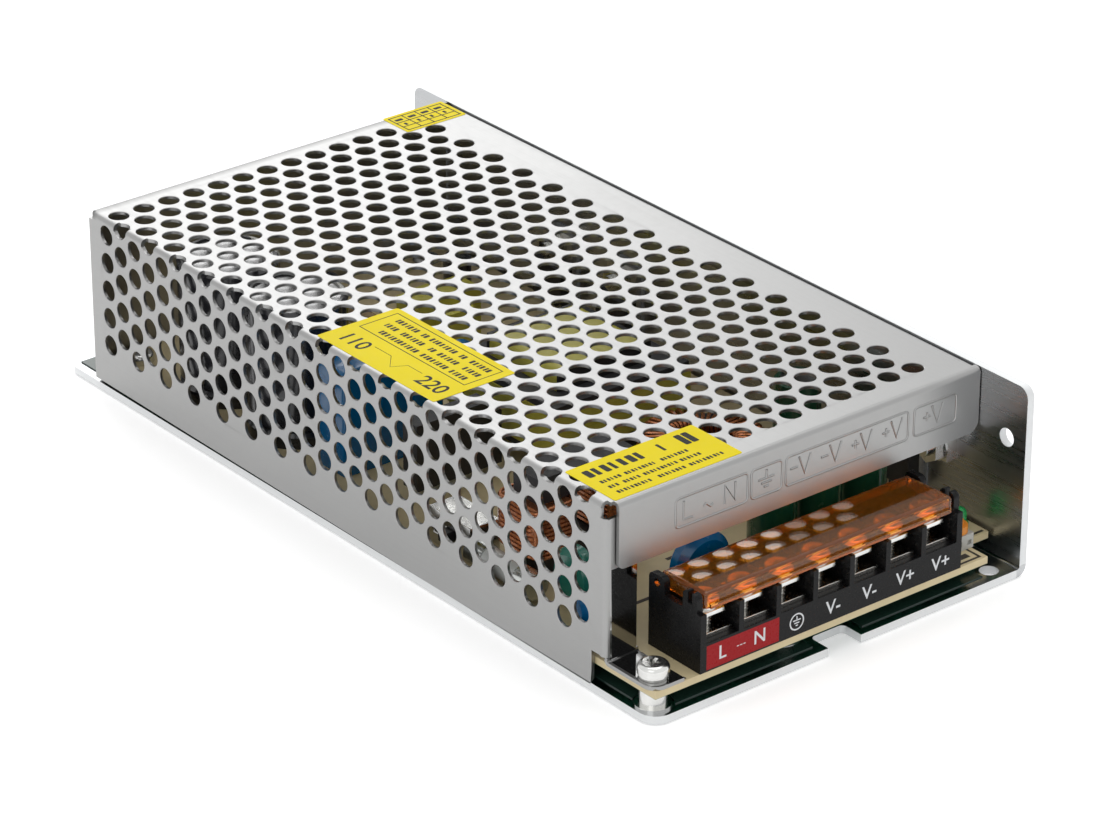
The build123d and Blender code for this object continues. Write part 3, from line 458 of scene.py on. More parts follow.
class Nodes:
    """Adds nodes to a tree and feeds their inputs with values or other nodes' outputs."""

    def __init__(self, tree):
        self.tree = tree

    def feed(self, socket, value):
        if isinstance(value, bpy.types.NodeSocket):
            self.tree.links.new(value, socket)
        elif value is not None:
            socket.default_value = value

    def add(self, kind, settings, feeds):
        node = self.tree.nodes.new(kind)
        for key, value in settings.items():
            setattr(node, key, value)
        for key, value in feeds.items():
            self.feed(node.inputs[key], value)
        return node

    def calc(self, operation, a, b=None):
        return self.add("ShaderNodeMath", {"operation": operation}, {0: a, 1: b}).outputs[0]

    def plus(self, a, b):
        return self.calc("ADD", a, b)

    def minus(self, a, b):
        return self.calc("SUBTRACT", a, b)

    def times(self, a, b):
        return self.calc("MULTIPLY", a, b)

    def larger(self, a, b):
        return self.calc("MAXIMUM", a, b)

    def above(self, value, limit):
        return self.calc("GREATER_THAN", value, limit)

    def below(self, value, limit):
        return self.calc("LESS_THAN", value, limit)

    def size(self, value):
        return self.calc("ABSOLUTE", value)

    def vector(self, operation, a, b=None):
        return self.add("ShaderNodeVectorMath", {"operation": operation}, {0: a, 1: b}).outputs[0]

    def parts(self, vector):
        return self.add("ShaderNodeSeparateXYZ", {}, {0: vector}).outputs

    def noise(self, vector, scale, detail, rough):
        feeds = {"Vector": vector, "Scale": scale, "Detail": detail, "Roughness": rough}
        return self.add("ShaderNodeTexNoise", {}, feeds).outputs["Fac"]

    def between(self, value, low, high, from_low=0.3, from_high=0.7):
        feeds = {"Value": value, "From Min": from_low, "From Max": from_high, "To Min": low, "To Max": high}
        return self.add("ShaderNodeMapRange", {}, feeds).outputs[0]

    def mix(self, factor, a, b):
        colours = {"data_type": "RGBA"}
        return self.add("ShaderNodeMix", colours, {0: factor, 6: a, 7: b}).outputs[2]

    def either(self, masks):
        total = masks[0]
        for mask in masks[1:]:
            total = self.larger(total, mask)
        return total

    def seen_white(self):
        """A mask that is 1 for what the camera, a glossy or a clear surface sees."""
        path = self.tree.nodes.new("ShaderNodeLightPath").outputs
        return self.either([path["Is Camera Ray"], path["Is Glossy Ray"], path["Is Transmission Ray"]])

    def group(self, tree, feeds):
        node = self.tree.nodes.new("ShaderNodeGroup")
        node.node_tree = tree
        for key, value in feeds.items():
            self.feed(node.inputs[key], value)
        return node.outputs


def fine_grain():
    """Fine even grain: a value for roughness and a height for bump."""
    def fill(nodes, start):
        value = nodes.noise(start["Vector"], start["Scale"], detail=4.0, rough=0.6)
        return {"Value": nodes.between(value, start["Low"], start["High"]), "Height": value}
    inputs = {"Vector": (0, 0, 0), "Scale": 800.0, "Low": 0.3, "High": 0.5}
    return effect("fine grain", inputs, texture_outputs, fill)


def drawn_lines():
    """Long fine lines left by rolling or drawing, along the axis whose stretch is smallest."""
    def fill(nodes, start):
        stretched = nodes.vector("MULTIPLY", start["Vector"], start["Stretch"])
        value = nodes.noise(stretched, 1.0, detail=5.0, rough=0.65)
        return {"Value": nodes.between(value, start["Low"], start["High"]), "Height": value}
    inputs = {"Vector": (0, 0, 0), "Stretch": (2000, 40, 2000), "Low": 0.3, "High": 0.5}
    return effect("drawn lines", inputs, texture_outputs, fill)


def handling():
    """Broad soft variation of a colour, as from handling, dust and uneven coating."""
    def fill(nodes, start):
        value = nodes.noise(start["Vector"], start["Scale"], detail=3.0, rough=0.5)
        shade = nodes.between(value, nodes.minus(1.0, start["Amount"]), 1.0)
        feeds = {0: start["Colour"], "Scale": shade}
        return {"Colour": nodes.add("ShaderNodeVectorMath", {"operation": "SCALE"}, feeds).outputs[0]}
    inputs = {"Vector": (0, 0, 0), "Colour": (1, 1, 1, 1), "Scale": 60.0, "Amount": 0.1}
    return effect("handling", inputs, {"Colour": "NodeSocketColor"}, fill)


def printed_box():
    """A mask that is 1 inside a box given by its centre and half size."""
    def fill(nodes, start):
        away = nodes.vector("ABSOLUTE", nodes.vector("SUBTRACT", start["Vector"], start["Centre"]))
        x, y, z = nodes.parts(nodes.vector("SUBTRACT", away, start["Half"]))
        return {"Mask": nodes.below(nodes.larger(nodes.larger(x, y), z), 0.0)}
    inputs = {"Vector": (0, 0, 0), "Centre": (0, 0, 0), "Half": (0, 0, 0)}
    return effect("printed box", inputs, {"Mask": "NodeSocketFloat"}, fill)


class Finish(Nodes):
    """A material under construction on a piece's own coordinates, in metres."""

    def __init__(self, name, metallic=0.0, **sockets):
        self.material = bpy.data.materials.new(name)
        self.material.use_nodes = True
        super().__init__(self.material.node_tree)
        self.shader = self.tree.nodes["Principled BSDF"]
        self.paint("Metallic", metallic)
        for socket, value in sockets.items():
            self.paint(socket.replace("_", " "), value)
        coordinates = self.tree.nodes.new("ShaderNodeTexCoord").outputs
        self.place, self.facing = coordinates["Object"], coordinates["Normal"]

    def paint(self, socket, value):
        self.feed(self.shader.inputs[socket], value)

    def varied(self, colour, scale, amount):
        feeds = {"Vector": self.place, "Colour": (*colour, 1), "Scale": scale, "Amount": amount}
        return self.group(handling(), feeds)["Colour"]

    def grain(self, scale, low, high):
        return self.group(fine_grain(), {"Vector": self.place, "Scale": scale, "Low": low, "High": high})

    def lines(self, stretch, low, high):
        return self.group(drawn_lines(), {"Vector": self.place, "Stretch": stretch, "Low": low, "High": high})

    def box(self, low, high):
        centre = [(a + b) / 2 for a, b in zip(low, high)]
        half = [abs(b - a) / 2 for a, b in zip(low, high)]
        return self.group(printed_box(), {"Vector": self.place, "Centre": centre, "Half": half})["Mask"]

    def bump(self, texture, strength, distance):
        feeds = {"Height": texture["Height"], "Strength": strength, "Distance": distance}
        self.paint("Normal", self.add("ShaderNodeBump", {}, feeds).outputs["Normal"])

    def skin(self, texture, bump_strength=None, bump_distance=0.0):
        """Takes the roughness and, where a strength is given, the bump from a texture."""
        self.paint("Roughness", texture["Value"])
        if bump_strength:
            self.bump(texture, bump_strength, bump_distance)


# Finishes
def coated(name, colour, tone, grain, bump=(None, 0.0), metallic=0.0, **sockets):
    """A finish of one varied colour and one grain: tone is a scale and an amount, grain a scale and the
    lowest and highest roughness, bump a strength and a distance."""
    finish = Finish(name, metallic, **sockets)
    finish.paint("Base Color", finish.varied(colour, *tone))
    finish.skin(finish.grain(*grain), *bump)
    return finish


def moulded(name, colour, low=0.3, high=0.42, scale=1500.0, bump=0.15, **sockets):
    """Moulded plastic with a fine spark-eroded grain."""
    return coated(name, colour, (120.0, 0.08), (scale, low, high), (bump, 0.04 * MM), **sockets)


def dipped(name, colour, amount=0.15):
    """A dipped or sleeved glossy coating with an uneven surface."""
    return coated(name, colour, (180.0, amount), (260.0, 0.16, 0.3), (0.25, 0.2 * MM), Coat_Weight=0.4)


def plated(name, colour, low, high, scale=900.0, bump=0.08):
    """Bright plated or tinned metal with faint handling marks."""
    return coated(name, colour, (300.0, 0.18), (scale, low, high), (bump, 0.05 * MM), metallic=1.0).material


def ink(name, colour):
    """Printed ink, matte, with a slightly worn surface."""
    return coated(name, colour, (900.0, 0.12), (2500.0, 0.45, 0.6), Specular_IOR_Level=0.12).material


def lid_finish(look):
    """Clear amber moulding: tinted glass-like plastic with a glossy skin."""
    return coated("amber_moulding", look.lid_colour, (90.0, 0.08), (160.0, 0.0, 0.03),
                  Transmission_Weight=0.94, IOR=1.49).material


def lens_finish():
    """Tinted clear lens of the indicator."""
    return coated("tinted_lens", (0.02, 0.62, 0.16), (200.0, 0.1), (400.0, 0.05, 0.12),
                  Transmission_Weight=0.6, IOR=1.5).material


def label_finish(look):
    """Yellow vinyl with a faint sheen."""
    return coated("label_vinyl", look.label_colour, (50.0, 0.06), (600.0, 0.36, 0.5), (0.06, 0.08 * MM),
                  Specular_IOR_Level=0.06).material


def wire_finish(look):
    """Enamelled copper wire."""
    return coated("enamelled_wire", look.copper_colour, (350.0, 0.3), (700.0, 0.22, 0.36), metallic=0.85,
                  Coat_Weight=0.5).material


def sheet_finish(look):
    """Satin cover sheet drawn along its length, with painted shade darkening the rear fold, and bright on the
    front flange.
    """
    fold_width, fold_reach, fold_height, fold_shade_tone = 3.2 * MM, 0.9 * MM, 1.3 * MM, 0.45
    flange_edge, flange_polish = 1.2 * MM, 0.8
    finish = Finish("satin_sheet", metallic=1.0)
    lines = finish.lines((2600, 30, 2600), low=0.27, high=0.36)
    grain = finish.grain(500.0, low=0.0, high=0.05)
    x, y, z = finish.parts(finish.place)
    # Painted shade: the colour of the top rear fold is darkened to stand in for the shade on the bend.
    near_rear = finish.between(y, 0.0, 1.0, cover_high.y - fold_width, cover_high.y - fold_reach)
    rear_fold_shade = finish.times(near_rear, finish.above(z, cover_high.z - fold_height))
    shaded = tuple(fold_shade_tone * part for part in look.sheet_colour) + (1,)
    finish.paint("Base Color", finish.mix(rear_fold_shade, finish.varied(look.sheet_colour, 14.0, 0.06), shaded))
    front = finish.times(finish.below(y, lip_y + flange_edge), finish.below(z, lip_bottom))
    flange = finish.times(front, finish.above(x, case_low.x + flange_edge))
    polish = finish.minus(1.0, finish.times(flange, flange_polish))
    finish.paint("Roughness", finish.times(finish.plus(lines["Value"], grain["Value"]), polish))
    finish.bump(lines, 0.05, 0.03 * MM)
    return finish.material


def plate_finish(look):
    """Bright rolled plate, nearly a mirror on its faces and matte on its cut edges."""
    edge_dullness, wall_dullness = 0.4, 0.14
    in_plate, past_bend = plate_thick * 1.02, plate_thick * 1.4
    finish = Finish("rolled_plate", metallic=1.0)
    lines = finish.lines((900, 20, 900), low=0.1, high=0.2)
    x, _, z = finish.parts(finish.place)
    nx, _, nz = finish.parts(finish.facing)
    wall = finish.above(x, case_high.x - in_plate)
    low_edge = finish.times(finish.below(z, in_plate), finish.below(finish.size(nz), 0.5))
    wall_edge = finish.times(wall, finish.below(finish.size(nx), 0.5))
    edge = finish.larger(finish.times(low_edge, finish.below(x, case_high.x - past_bend)),
                         finish.times(wall_edge, finish.above(z, past_bend)))
    face = finish.varied(look.plate_colour, 25.0, 0.12)
    finish.paint("Base Color", finish.mix(edge, face, (*look.edge_colour, 1)))
    dull = finish.plus(finish.times(edge, edge_dullness), finish.times(wall, wall_dullness))
    finish.paint("Roughness", finish.plus(lines["Value"], dull))
    finish.bump(lines, 0.06, 0.04 * MM)
    return finish.material


def block_finish(look):
    """Glossy black moulding with a printed field under the mains terminals."""
    field_height, field_from_floor = 5.6 * MM, 0.35 * MM
    finish = moulded("moulded_block", look.block_colour, 0.26, 0.3, 1300.0, 0.02, Specular_IOR_Level=0.16)
    pitch = terminal_x(1) - terminal_x(0)
    field = finish.box((terminal_x(0) - 0.42 * pitch, block_low.y - MM, block_low.z + field_from_floor),
                       (terminal_x(1) + 0.52 * pitch, block_low.y + 0.2 * MM, block_low.z + field_height))
    plain = finish.varied(look.block_colour, 120.0, 0.1)
    finish.paint("Base Color", finish.mix(field, plain, (*look.field_colour, 1)))
    return finish.material


# Dark printed patches on the top of the board: x and y ranges in millimetres
board_patches = ((31.5, 37.9, -98.0, -97.4), (37.3, 37.9, -98.0, -92.0), (33.2, 36.2, -96.6, -95.0),
                 (-47.4, -39.6, -98.2, -97.3), (-46.8, -40.2, -88.5, -84.5), (31.6, 33.0, -90.0, -84.0),
                 (38.8, 45.8, -90.4, -89.7), (-30.0, -12.0, -70.0, -69.0), (-12.0, 2.0, -60.0, -59.0))
patch_colour = (0.03, 0.022, 0.016, 1)


def board_finish(look):
    """Cream laminate above with its dark printed patches, green coating with tracks below."""
    finish = Finish("laminate")
    z = finish.parts(finish.place)[2]
    under = finish.below(z, board_low.z + 0.05 * MM)
    tracks = finish.noise(finish.vector("SNAP", finish.place, (3.2 * MM, 5.1 * MM, 1.0)), 130.0, 0.0, 0.55)
    pale_mask = tuple(2.0 * part for part in look.mask_colour) + (1,)
    mask = finish.mix(finish.above(tracks, 0.52), (*look.mask_colour, 1), pale_mask)
    dark = finish.either([finish.box((x0 * MM, y0 * MM, board_high.z - 0.1 * MM),
                                     (x1 * MM, y1 * MM, board_high.z + 0.1 * MM))
                          for x0, x1, y0, y1 in board_patches])
    printed = finish.mix(dark, finish.varied(look.board_colour, 220.0, 0.1), patch_colour)
    finish.paint("Base Color", finish.mix(under, printed, mask))
    finish.skin(finish.grain(1800.0, low=0.38, high=0.52), 0.12, 0.05 * MM)
    return finish.material


def can_finish(name, colour, dish_heights, stripe_x=None):
    """A shrunk sleeve with a bare scored top and, where it has a place, a pale stripe down one side."""
    finish = dipped(name, colour)
    x, _, z = finish.parts(finish.place)
    nz = finish.parts(finish.facing)[2]
    dish = finish.either([finish.below(finish.size(finish.minus(z, height)), 0.06 * MM)
                          for height in dish_heights])
    bare = finish.times(dish, finish.above(nz, 0.9))
    sleeve = finish.varied(colour, 180.0, 0.15)
    if stripe_x is not None:
        sleeve = finish.mix(finish.above(x, stripe_x), sleeve, (0.55, 0.55, 0.5, 1))
    finish.paint("Base Color", finish.mix(bare, sleeve, (0.42, 0.42, 0.42, 1)))
    finish.paint("Metallic", bare)
    return finish.material


def tape_finish(look):
    """Wound polyester tape with the edges of its layers."""
    finish = Finish("wound_tape")
    finish.paint("Base Color", finish.varied(look.tape_colour, 120.0, 0.2))
    finish.skin(finish.lines((60, 60, 2400), low=0.22, high=0.4), 0.3, 0.2 * MM)
    return finish.material


# Pressed marks on the lip: frames as x ranges, strokes in each mark's own millimetres, each mark's left end
lip_frames = ((-32.6, -14.4), (-13.5, -5.6), (-4.6, 27.6), (29.2, 40.6))
frame_top, frame_bottom, frame_corner = 38.3, 32.0, 0.9
mark_l = (((0, 4), (0, 0), (2.3, 0)),)
mark_n = (((0, 0), (0, 4), (2.6, 0), (2.6, 4)),)
mark_v = (((0, 4), (1.5, 0), (3.0, 4)),)
mark_plus = (((0, 2), (1.8, 2)), ((0.9, 1.1), (0.9, 2.9)))
mark_minus = (((0, 2), (1.8, 2)),)
mark_wave = (((0, 1.2), (0.6, 1.7), (1.2, 1.2), (1.8, 0.7), (2.4, 1.2)),)
mark_earth = (((2, 4.0), (2, 2.2)), ((0, 2.2), (4, 2.2)), ((0.7, 1.3), (3.3, 1.3)), ((1.4, 0.4), (2.6, 0.4)))
lip_marks = ((mark_l, -30.6), (mark_wave, -25.6), (mark_n, -20.2), (mark_earth, -11.6), (mark_minus, -3.4),
             (mark_v, -1.2), (mark_minus, 4.6), (mark_v, 6.8), (mark_plus, 12.7), (mark_v, 14.9),
             (mark_plus, 20.8), (mark_v, 23.0), (mark_plus, 31.8), (mark_v, 34.0))
marks_foot = 33.4


class SUPPLY_OT_case(bpy.types.Operator):
    """Finishes the chassis and the cover"""
    bl_idname = "supply.case"
    bl_label = "Chassis and cover"

    def execute(self, context):
        look = context.scene.case_look
        dress(["chassis"], plate_finish(look))
        self.cover(look)
        return {"FINISHED"}

    @staticmethod
    def cover(look):
        """The cover with the rims of its punched holes rounded, so that they catch the light."""
        cover = merged_copy("cover")
        margin, wall = 2.5 * MM, 0.9 * MM
        low, high = cover_low + Vector((margin,) * 3), cover_high - Vector((margin,) * 3)

        def punched(place, normal):
            if not low.y < place.y < high.y:
                return False
            through_top = place.z > cover_high.z - wall and low.x < place.x < high.x and abs(normal.z) < 0.1
            through_side = place.x < cover_low.x + wall and low.z < place.z < high.z and abs(normal.x) < 0.1
            return through_top or through_side

        begin_edit(cover, "FACE")
        choose(cover, "FACE", punched)
        bpy.ops.mesh.region_to_loop()
        bpy.ops.mesh.bevel(offset=look.hole_rim, segments=1, affect="EDGES")
        end_edit()
        settle(cover, "punched_cover", "main", sheet_finish(look), ["cover"])


class SUPPLY_OT_lip_marks(bpy.types.Operator):
    """Presses the frames and terminal marks into the front lip"""
    bl_idname = "supply.lip_marks"
    bl_label = "Pressed marks"

    def execute(self, context):
        look = context.scene.case_look
        material = bpy.data.materials["satin_sheet"]
        radius, sunk_share = look.mark_wire, 0.35
        face = lip_y + radius * sunk_share
        pieces = []
        middle = (frame_top + frame_bottom) / 2 * MM
        for x0, x1 in lip_frames:
            loop = wire_frame((x1 - x0) * MM, (frame_top - frame_bottom) * MM, frame_corner * MM, radius)
            pieces.append(placed(loop, ((x0 + x1) / 2 * MM, face, middle), upright))
        for strokes, x in lip_marks:
            for line in strokes:
                points = [((x + px) * MM, face, (marks_foot + pz) * MM) for px, pz in line]
                pieces.append(stroke(points, radius))
        settle(joined(pieces), "lip_marks", "main", material)
        return {"FINISHED"}


# Labels: left, front, width and depth in millimetres
front_label = (-46.4, -84.6, 31.9, 15.2)
side_label = (-47.6, -30.2, 20.6, 38.6)
rear_label = (29.6, 78.9, 16.4, 9.4)


class SUPPLY_OT_labels(bpy.types.Operator):
    """Sticks the three plain yellow labels on the cover"""
    bl_idname = "supply.labels"
    bl_label = "Labels"

    def execute(self, context):
        look = context.scene.case_look
        vinyl = label_finish(look)
        print_ink = ink("label_ink", look.label_ink)
        top = cover_high.z
        for name, (x, y, width, depth) in (("front_label", front_label), ("side_label", side_label),
                                           ("rear_label", rear_label)):
            plate = rounded_plate(width * MM, depth * MM, look.label_thick, 0.5 * MM)
            placed(plate, ((x + width / 2) * MM, (y + depth / 2) * MM, top))
            settle(plate, name, "main", vinyl)
        height = top + look.label_thick
        self.print_front(height, print_ink)
        self.print_side(height, print_ink)
        self.print_rear(height, print_ink)
        return {"FINISHED"}

    @staticmethod
    def bars(places, height):
        """Thin flat bars of ink: x, y, width and depth of each, in millimetres."""
        made = []
        for x, y, width, depth in places:
            bar = rounded_plate(width * MM, depth * MM, ink_thick, min(width, depth) * 0.15 * MM, 1)
            made.append(placed(bar, ((x + width / 2) * MM, (y + depth / 2) * MM, height)))
        return made

    @staticmethod
    def finish_print(pieces, name, material):
        """Makes one flat print of its pieces."""
        settle(joined(pieces), name, "main", material, smooth_angle=0)

    @staticmethod
    def ticks(start, length, step):
        """A run of small blocks that fills a length as a word would: start and width of each."""
        count = max(1, int(length / step))
        widths = (0.74, 0.52, 0.66, 0.42, 0.6)
        return [(start + i * step, step * widths[i % len(widths)]) for i in range(count)]

    def print_front(self, height, material):
        """A bold heading with its marks over three lines."""
        x, y = front_label[:2]
        places = [(x + start, y + 10.0, wide, 3.0) for start, wide in self.ticks(2.2, 16.0, 2.1)]
        places += [(x + 20.6, y + 10.0, 0.7, 3.0), (x + 25.6, y + 9.2, 1.5, 4.4),
                   (x + 27.4, y + 9.2, 1.5, 4.4)]
        lines = (((2.6, 5.4), (8.6, 8.4), (17.6, 7.0)), ((2.6, 3.0), (6.2, 4.4), (11.2, 8.6), (20.4, 5.2)),
                 ((2.6, 9.4), (12.8, 7.2), (20.6, 9.0)))
        for row, words in enumerate(lines):
            for start, length in words:
                places += [(x + begin, y + 6.9 - 2.5 * row, wide, 1.1)
                           for begin, wide in self.ticks(start, length, 0.86)]
        self.finish_print(self.bars(places, height), "front_label_print", material)

    def print_side(self, height, material):
        """Three lines in a frame, the two mains settings and the switch line between them."""
        x, y, width, depth = side_label
        places = []
        columns = (((3.6, 7.0), (11.4, 2.4), (14.6, 8.4), (23.8, 2.4), (27.0, 7.6)),
                   ((3.4, 6.2), (10.4, 6.6), (17.8, 3.0), (21.6, 7.8), (30.2, 4.6)),
                   ((4.0, 5.4), (10.2, 8.8), (19.8, 13.6)))
        for column, words in enumerate(columns):
            for start, length in words:
                places += [(x + width - 4.4 - 2.9 * column, y + begin, 1.5, wide)
                           for begin, wide in self.ticks(start, length, 1.05)]
        low, high = x + width - 11.4, x + width - 1.7
        places += [(low, y + 2.0, high - low, 0.22), (low, y + depth - 2.2, high - low, 0.22),
                   (low, y + 2.0, 0.22, depth - 4.0), (high, y + 2.0, 0.22, depth - 4.0)]
        pieces = self.bars(places, height)
        for body, along in (("110", 31.6), ("220", 6.2)):
            number = flat_text(body, 5.4 * MM, 0.07 * MM)
            pieces.append(placed(number, ((x + 4.3) * MM, (y + along) * MM, height), (0, 0, -math.pi / 2)))
        line = ((6.0, 27.0), (6.0, 21.6), (2.8, 17.8), (6.0, 16.0), (6.0, 11.4))
        points = [((x + px) * MM, (y + py) * MM, height - 0.1 * MM) for px, py in line]
        pieces.append(stroke(points, 0.13 * MM, 1))
        self.finish_print(pieces, "side_label_print", material)

    def print_rear(self, height, material):
        """A small table of four columns, with a block in each of its boxes."""
        x, y, width = rear_label[:3]
        places = [(x + 0.8, y + row, width - 1.6, 0.3) for row in (0.8, 2.8, 5.2, 8.2)]
        places += [(x + column, y + 0.8, 0.3, 7.6) for column in (0.8, 4.4, 8.0, 11.6, 15.2)]
        places += [(x + 1.6 + 3.6 * column, y + 6.2, 2.0, 1.0) for column in range(4)]
        places += [(x + 2.2 + 3.6 * column, y + 3.4, 0.7, 1.2) for column in range(4)]
        self.finish_print(self.bars(places, height), "rear_label_print", material)


class SUPPLY_OT_terminal_block(bpy.types.Operator):
    """Rounds the block's edges, prints its field and marks and tins its contacts"""
    bl_idname = "supply.terminal_block"
    bl_label = "Terminal block"

    def execute(self, context):
        look = context.scene.terminal_look
        black = block_finish(look)
        soften("terminal_block", 0.16 * MM, "terminal_block_body", "main", black)
        tinned = plated("tinned_contact", (0.8, 0.78, 0.74), 0.12, 0.22, 500.0, 0.02)
        soften("terminal_contacts", 0.4 * MM, "contact_strips", "main", tinned, 3)
        self.print_marks(look)
        return {"FINISHED"}

    @staticmethod
    def print_marks(look):
        """The white marks under the terminals: letters, a ringed earth and three dashes from L to N."""
        face, level = block_low.y - 0.005 * MM, block_low.z + 3.0 * MM
        size, line, ring_d = look.mark_height * 1.35, 0.26 * MM, 3.4 * MM
        pieces = []
        for number, body in ((0, "L"), (1, "N"), (3, "V-"), (4, "V-"), (5, "V+"), (6, "V+")):
            letters = flat_text(body, size, 0.04 * MM)
            pieces.append(placed(letters, (terminal_x(number), face, level), upright))
        ring = wire_frame(ring_d, ring_d, ring_d / 2 - 0.01 * MM, 0.16 * MM, 12)
        ring.scale = (1, 1, 0.06)
        pieces.append(placed(ring, (terminal_x(2), face, level), upright))
        earth, between = terminal_x(2), (terminal_x(0) + terminal_x(1)) / 2
        bars = [(earth, low, 2 * half, line, 0.06) for half, low in ((1.0, 0.35), (0.65, -0.25), (0.3, -0.8))]
        bars += [(earth, 0.8, line / MM, 0.9 * MM, 0.06)]
        bars += [(between + (start + end) / 2 * MM, 0, end - start, 0.2 * MM, 0.05)
                 for start, end in ((-1.1, -0.55), (-0.3, 0.3), (0.55, 1.1))]
        for x, height, length, tall, corner in bars:
            bar = rounded_plate(length * MM, tall, ink_thick, corner * MM, 2)
            pieces.append(placed(bar, (x, face, level + height * MM), upright))
        white = ink("mark_ink", look.ink_colour)
        settle(joined(pieces), "terminal_marks", "main", white)


def terminal_x(number):
    """The middle of a terminal, counted from 0 at the left."""
    low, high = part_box(f"terminal_clamp_{number + 1}")
    return (low.x + high.x) / 2


def pan_screw(head_d, head_h, shank_d, length, pitch):
    """A pan-head screw at the origin, its seat at height 0, with a cross and slot cut and a real thread."""
    slot = (head_d * 0.62, head_d * 0.14, head_h * 1.1)
    head = turned(head_d / 2, head_h, head_h * 0.5)
    for turn in (0, math.pi / 2):
        cutter = unit_box(slot, (0, 0, head_h))
        begin_edit(cutter, "FACE")
        choose(cutter, "FACE", lambda middle, normal: normal.z < -0.9)
        bpy.ops.transform.resize(value=(0.45, 0.6, 1))
        end_edit()
        cut_out(head, placed(cutter, (0, 0, 0), (0, 0, turn)))
    return joined([head, threaded(shank_d / 2, length, pitch)])


def threaded(radius, length, pitch):
    """A threaded shank below the origin: one tooth swept up a helix, then cut square at both ends."""
    depth, flank, crest, trough, steps = pitch * 0.55, pitch * 0.42, pitch * 0.12, pitch * 0.04, 20
    tooth = lone_vertex((radius - depth, 0, -length - 2 * pitch))
    for step in ((depth, 0, flank), (0, 0, crest), (-depth, 0, flank), (0, 0, trough)):
        extrude_by(step)
    end_edit()
    turns = int(length / pitch) + 4
    apply_modifier(tooth, "helix", "SCREW", axis="Z", angle=2 * math.pi, screw_offset=pitch, iterations=turns,
                   steps=steps, render_steps=steps, use_merge_vertices=True, merge_threshold=merge_reach)
    begin_edit(tooth, "VERT", everything=True)
    bpy.ops.mesh.remove_doubles(threshold=2 * merge_reach)
    for height, side in ((-length, True), (0, False)):
        select_whole()
        bpy.ops.mesh.bisect(plane_co=(0, 0, height), plane_no=(0, 0, 1), use_fill=True, clear_inner=side,
                            clear_outer=not side)
    close_outward()
    return tooth


class SUPPLY_OT_terminal_screws(bpy.types.Operator):
    """Replaces the terminal screws and clamps by detailed ones"""
    bl_idname = "supply.terminal_screws"
    bl_label = "Terminal screws"

    def execute(self, context):
        look = context.scene.terminal_look
        shank_d = 3.4 * MM
        zinc = plated("bright_zinc", (0.78, 0.78, 0.76), 0.14, 0.24, 600.0, 0.03)
        low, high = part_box("terminal_screw_1")
        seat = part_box("terminal_clamp_1")[1].z
        model = pan_screw(high.x - low.x, high.z - seat, shank_d, seat - low.z, look.thread_pitch)
        for number in range(1, terminal_count + 1):
            node = f"terminal_screw_{number}"
            low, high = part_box(node)
            middle = (low + high) / 2
            screw = placed(twin(model), (middle.x, middle.y, seat))
            settle(screw, f"thread_screw_{number}", f"screw_{number}", zinc, [node],
                   thread_angle)
            soften(f"terminal_clamp_{number}", 0.2 * MM, f"clamp_plate_{number}", f"clamp_{number}",
                   zinc, 3)
        bpy.data.objects.remove(model)
        return {"FINISHED"}


class SUPPLY_OT_terminal_lid(bpy.types.Operator):
    """Makes the lid clear amber, with its top falling slightly to the rear as it is moulded"""
    bl_idname = "supply.terminal_lid"
    bl_label = "Terminal lid"

    def execute(self, context):
        look = context.scene.terminal_look
        lid = bevelled_copy("terminal_cover", 0.08 * MM, 1)
        begin_edit(lid, "VERT")
        rear, below_top = (lid_low.y + lid_high.y) / 2, lid_high.z - 2.0 * MM
        choose(lid, "VERT", lambda place, normal: place.y > rear and place.z > below_top)
        bpy.ops.transform.translate(value=(0, 0, -look.lid_fall))
        end_edit()
        settle(lid, "amber_lid", "terminal_lid", lid_finish(look), ["terminal_cover"],
               thread_angle)
        return {"FINISHED"}


class SUPPLY_OT_board(bpy.types.Operator):
    """Finishes the board and its insulating film"""
    bl_idname = "supply.board"
    bl_label = "Circuit board"

    def execute(self, context):
        look = context.scene.inner_look
        dress(["circuit_board"], board_finish(look))
        film = moulded("insulating_film", (0.02, 0.045, 0.035), 0.08, 0.18, 90.0, 0.05)
        dress(["insulation_sheet"], film.material)
        return {"FINISHED"}


class SUPPLY_OT_front_controls(bpy.types.Operator):
    """Finishes the voltage trimmer, the indicator and the voltage selector"""
    bl_idname = "supply.front_controls"
    bl_label = "Trimmer, indicator and selector"

    def execute(self, context):
        grey = moulded("trimmer_body", (0.5, 0.5, 0.47)).material
        soften("voltage_trimmer_body", 0.1 * MM, "trimmer_case", "main", grey)
        orange = moulded("trimmer_rotor", (0.75, 0.26, 0.02)).material
        soften("voltage_trimmer_rotor", 0.12 * MM, "trimmer_disc", "trimmer_rotor", orange)
        dress(["status_led"], lens_finish())
        zinc = bpy.data.materials["bright_zinc"]
        soften("selector_body", 0.3 * MM, "selector_case", "main", zinc)
        black = moulded("selector_knob", (0.015, 0.015, 0.016)).material
        soften("selector_slider", 0.15 * MM, "selector_knob_piece", "selector_knob", black)
        return {"FINISHED"}


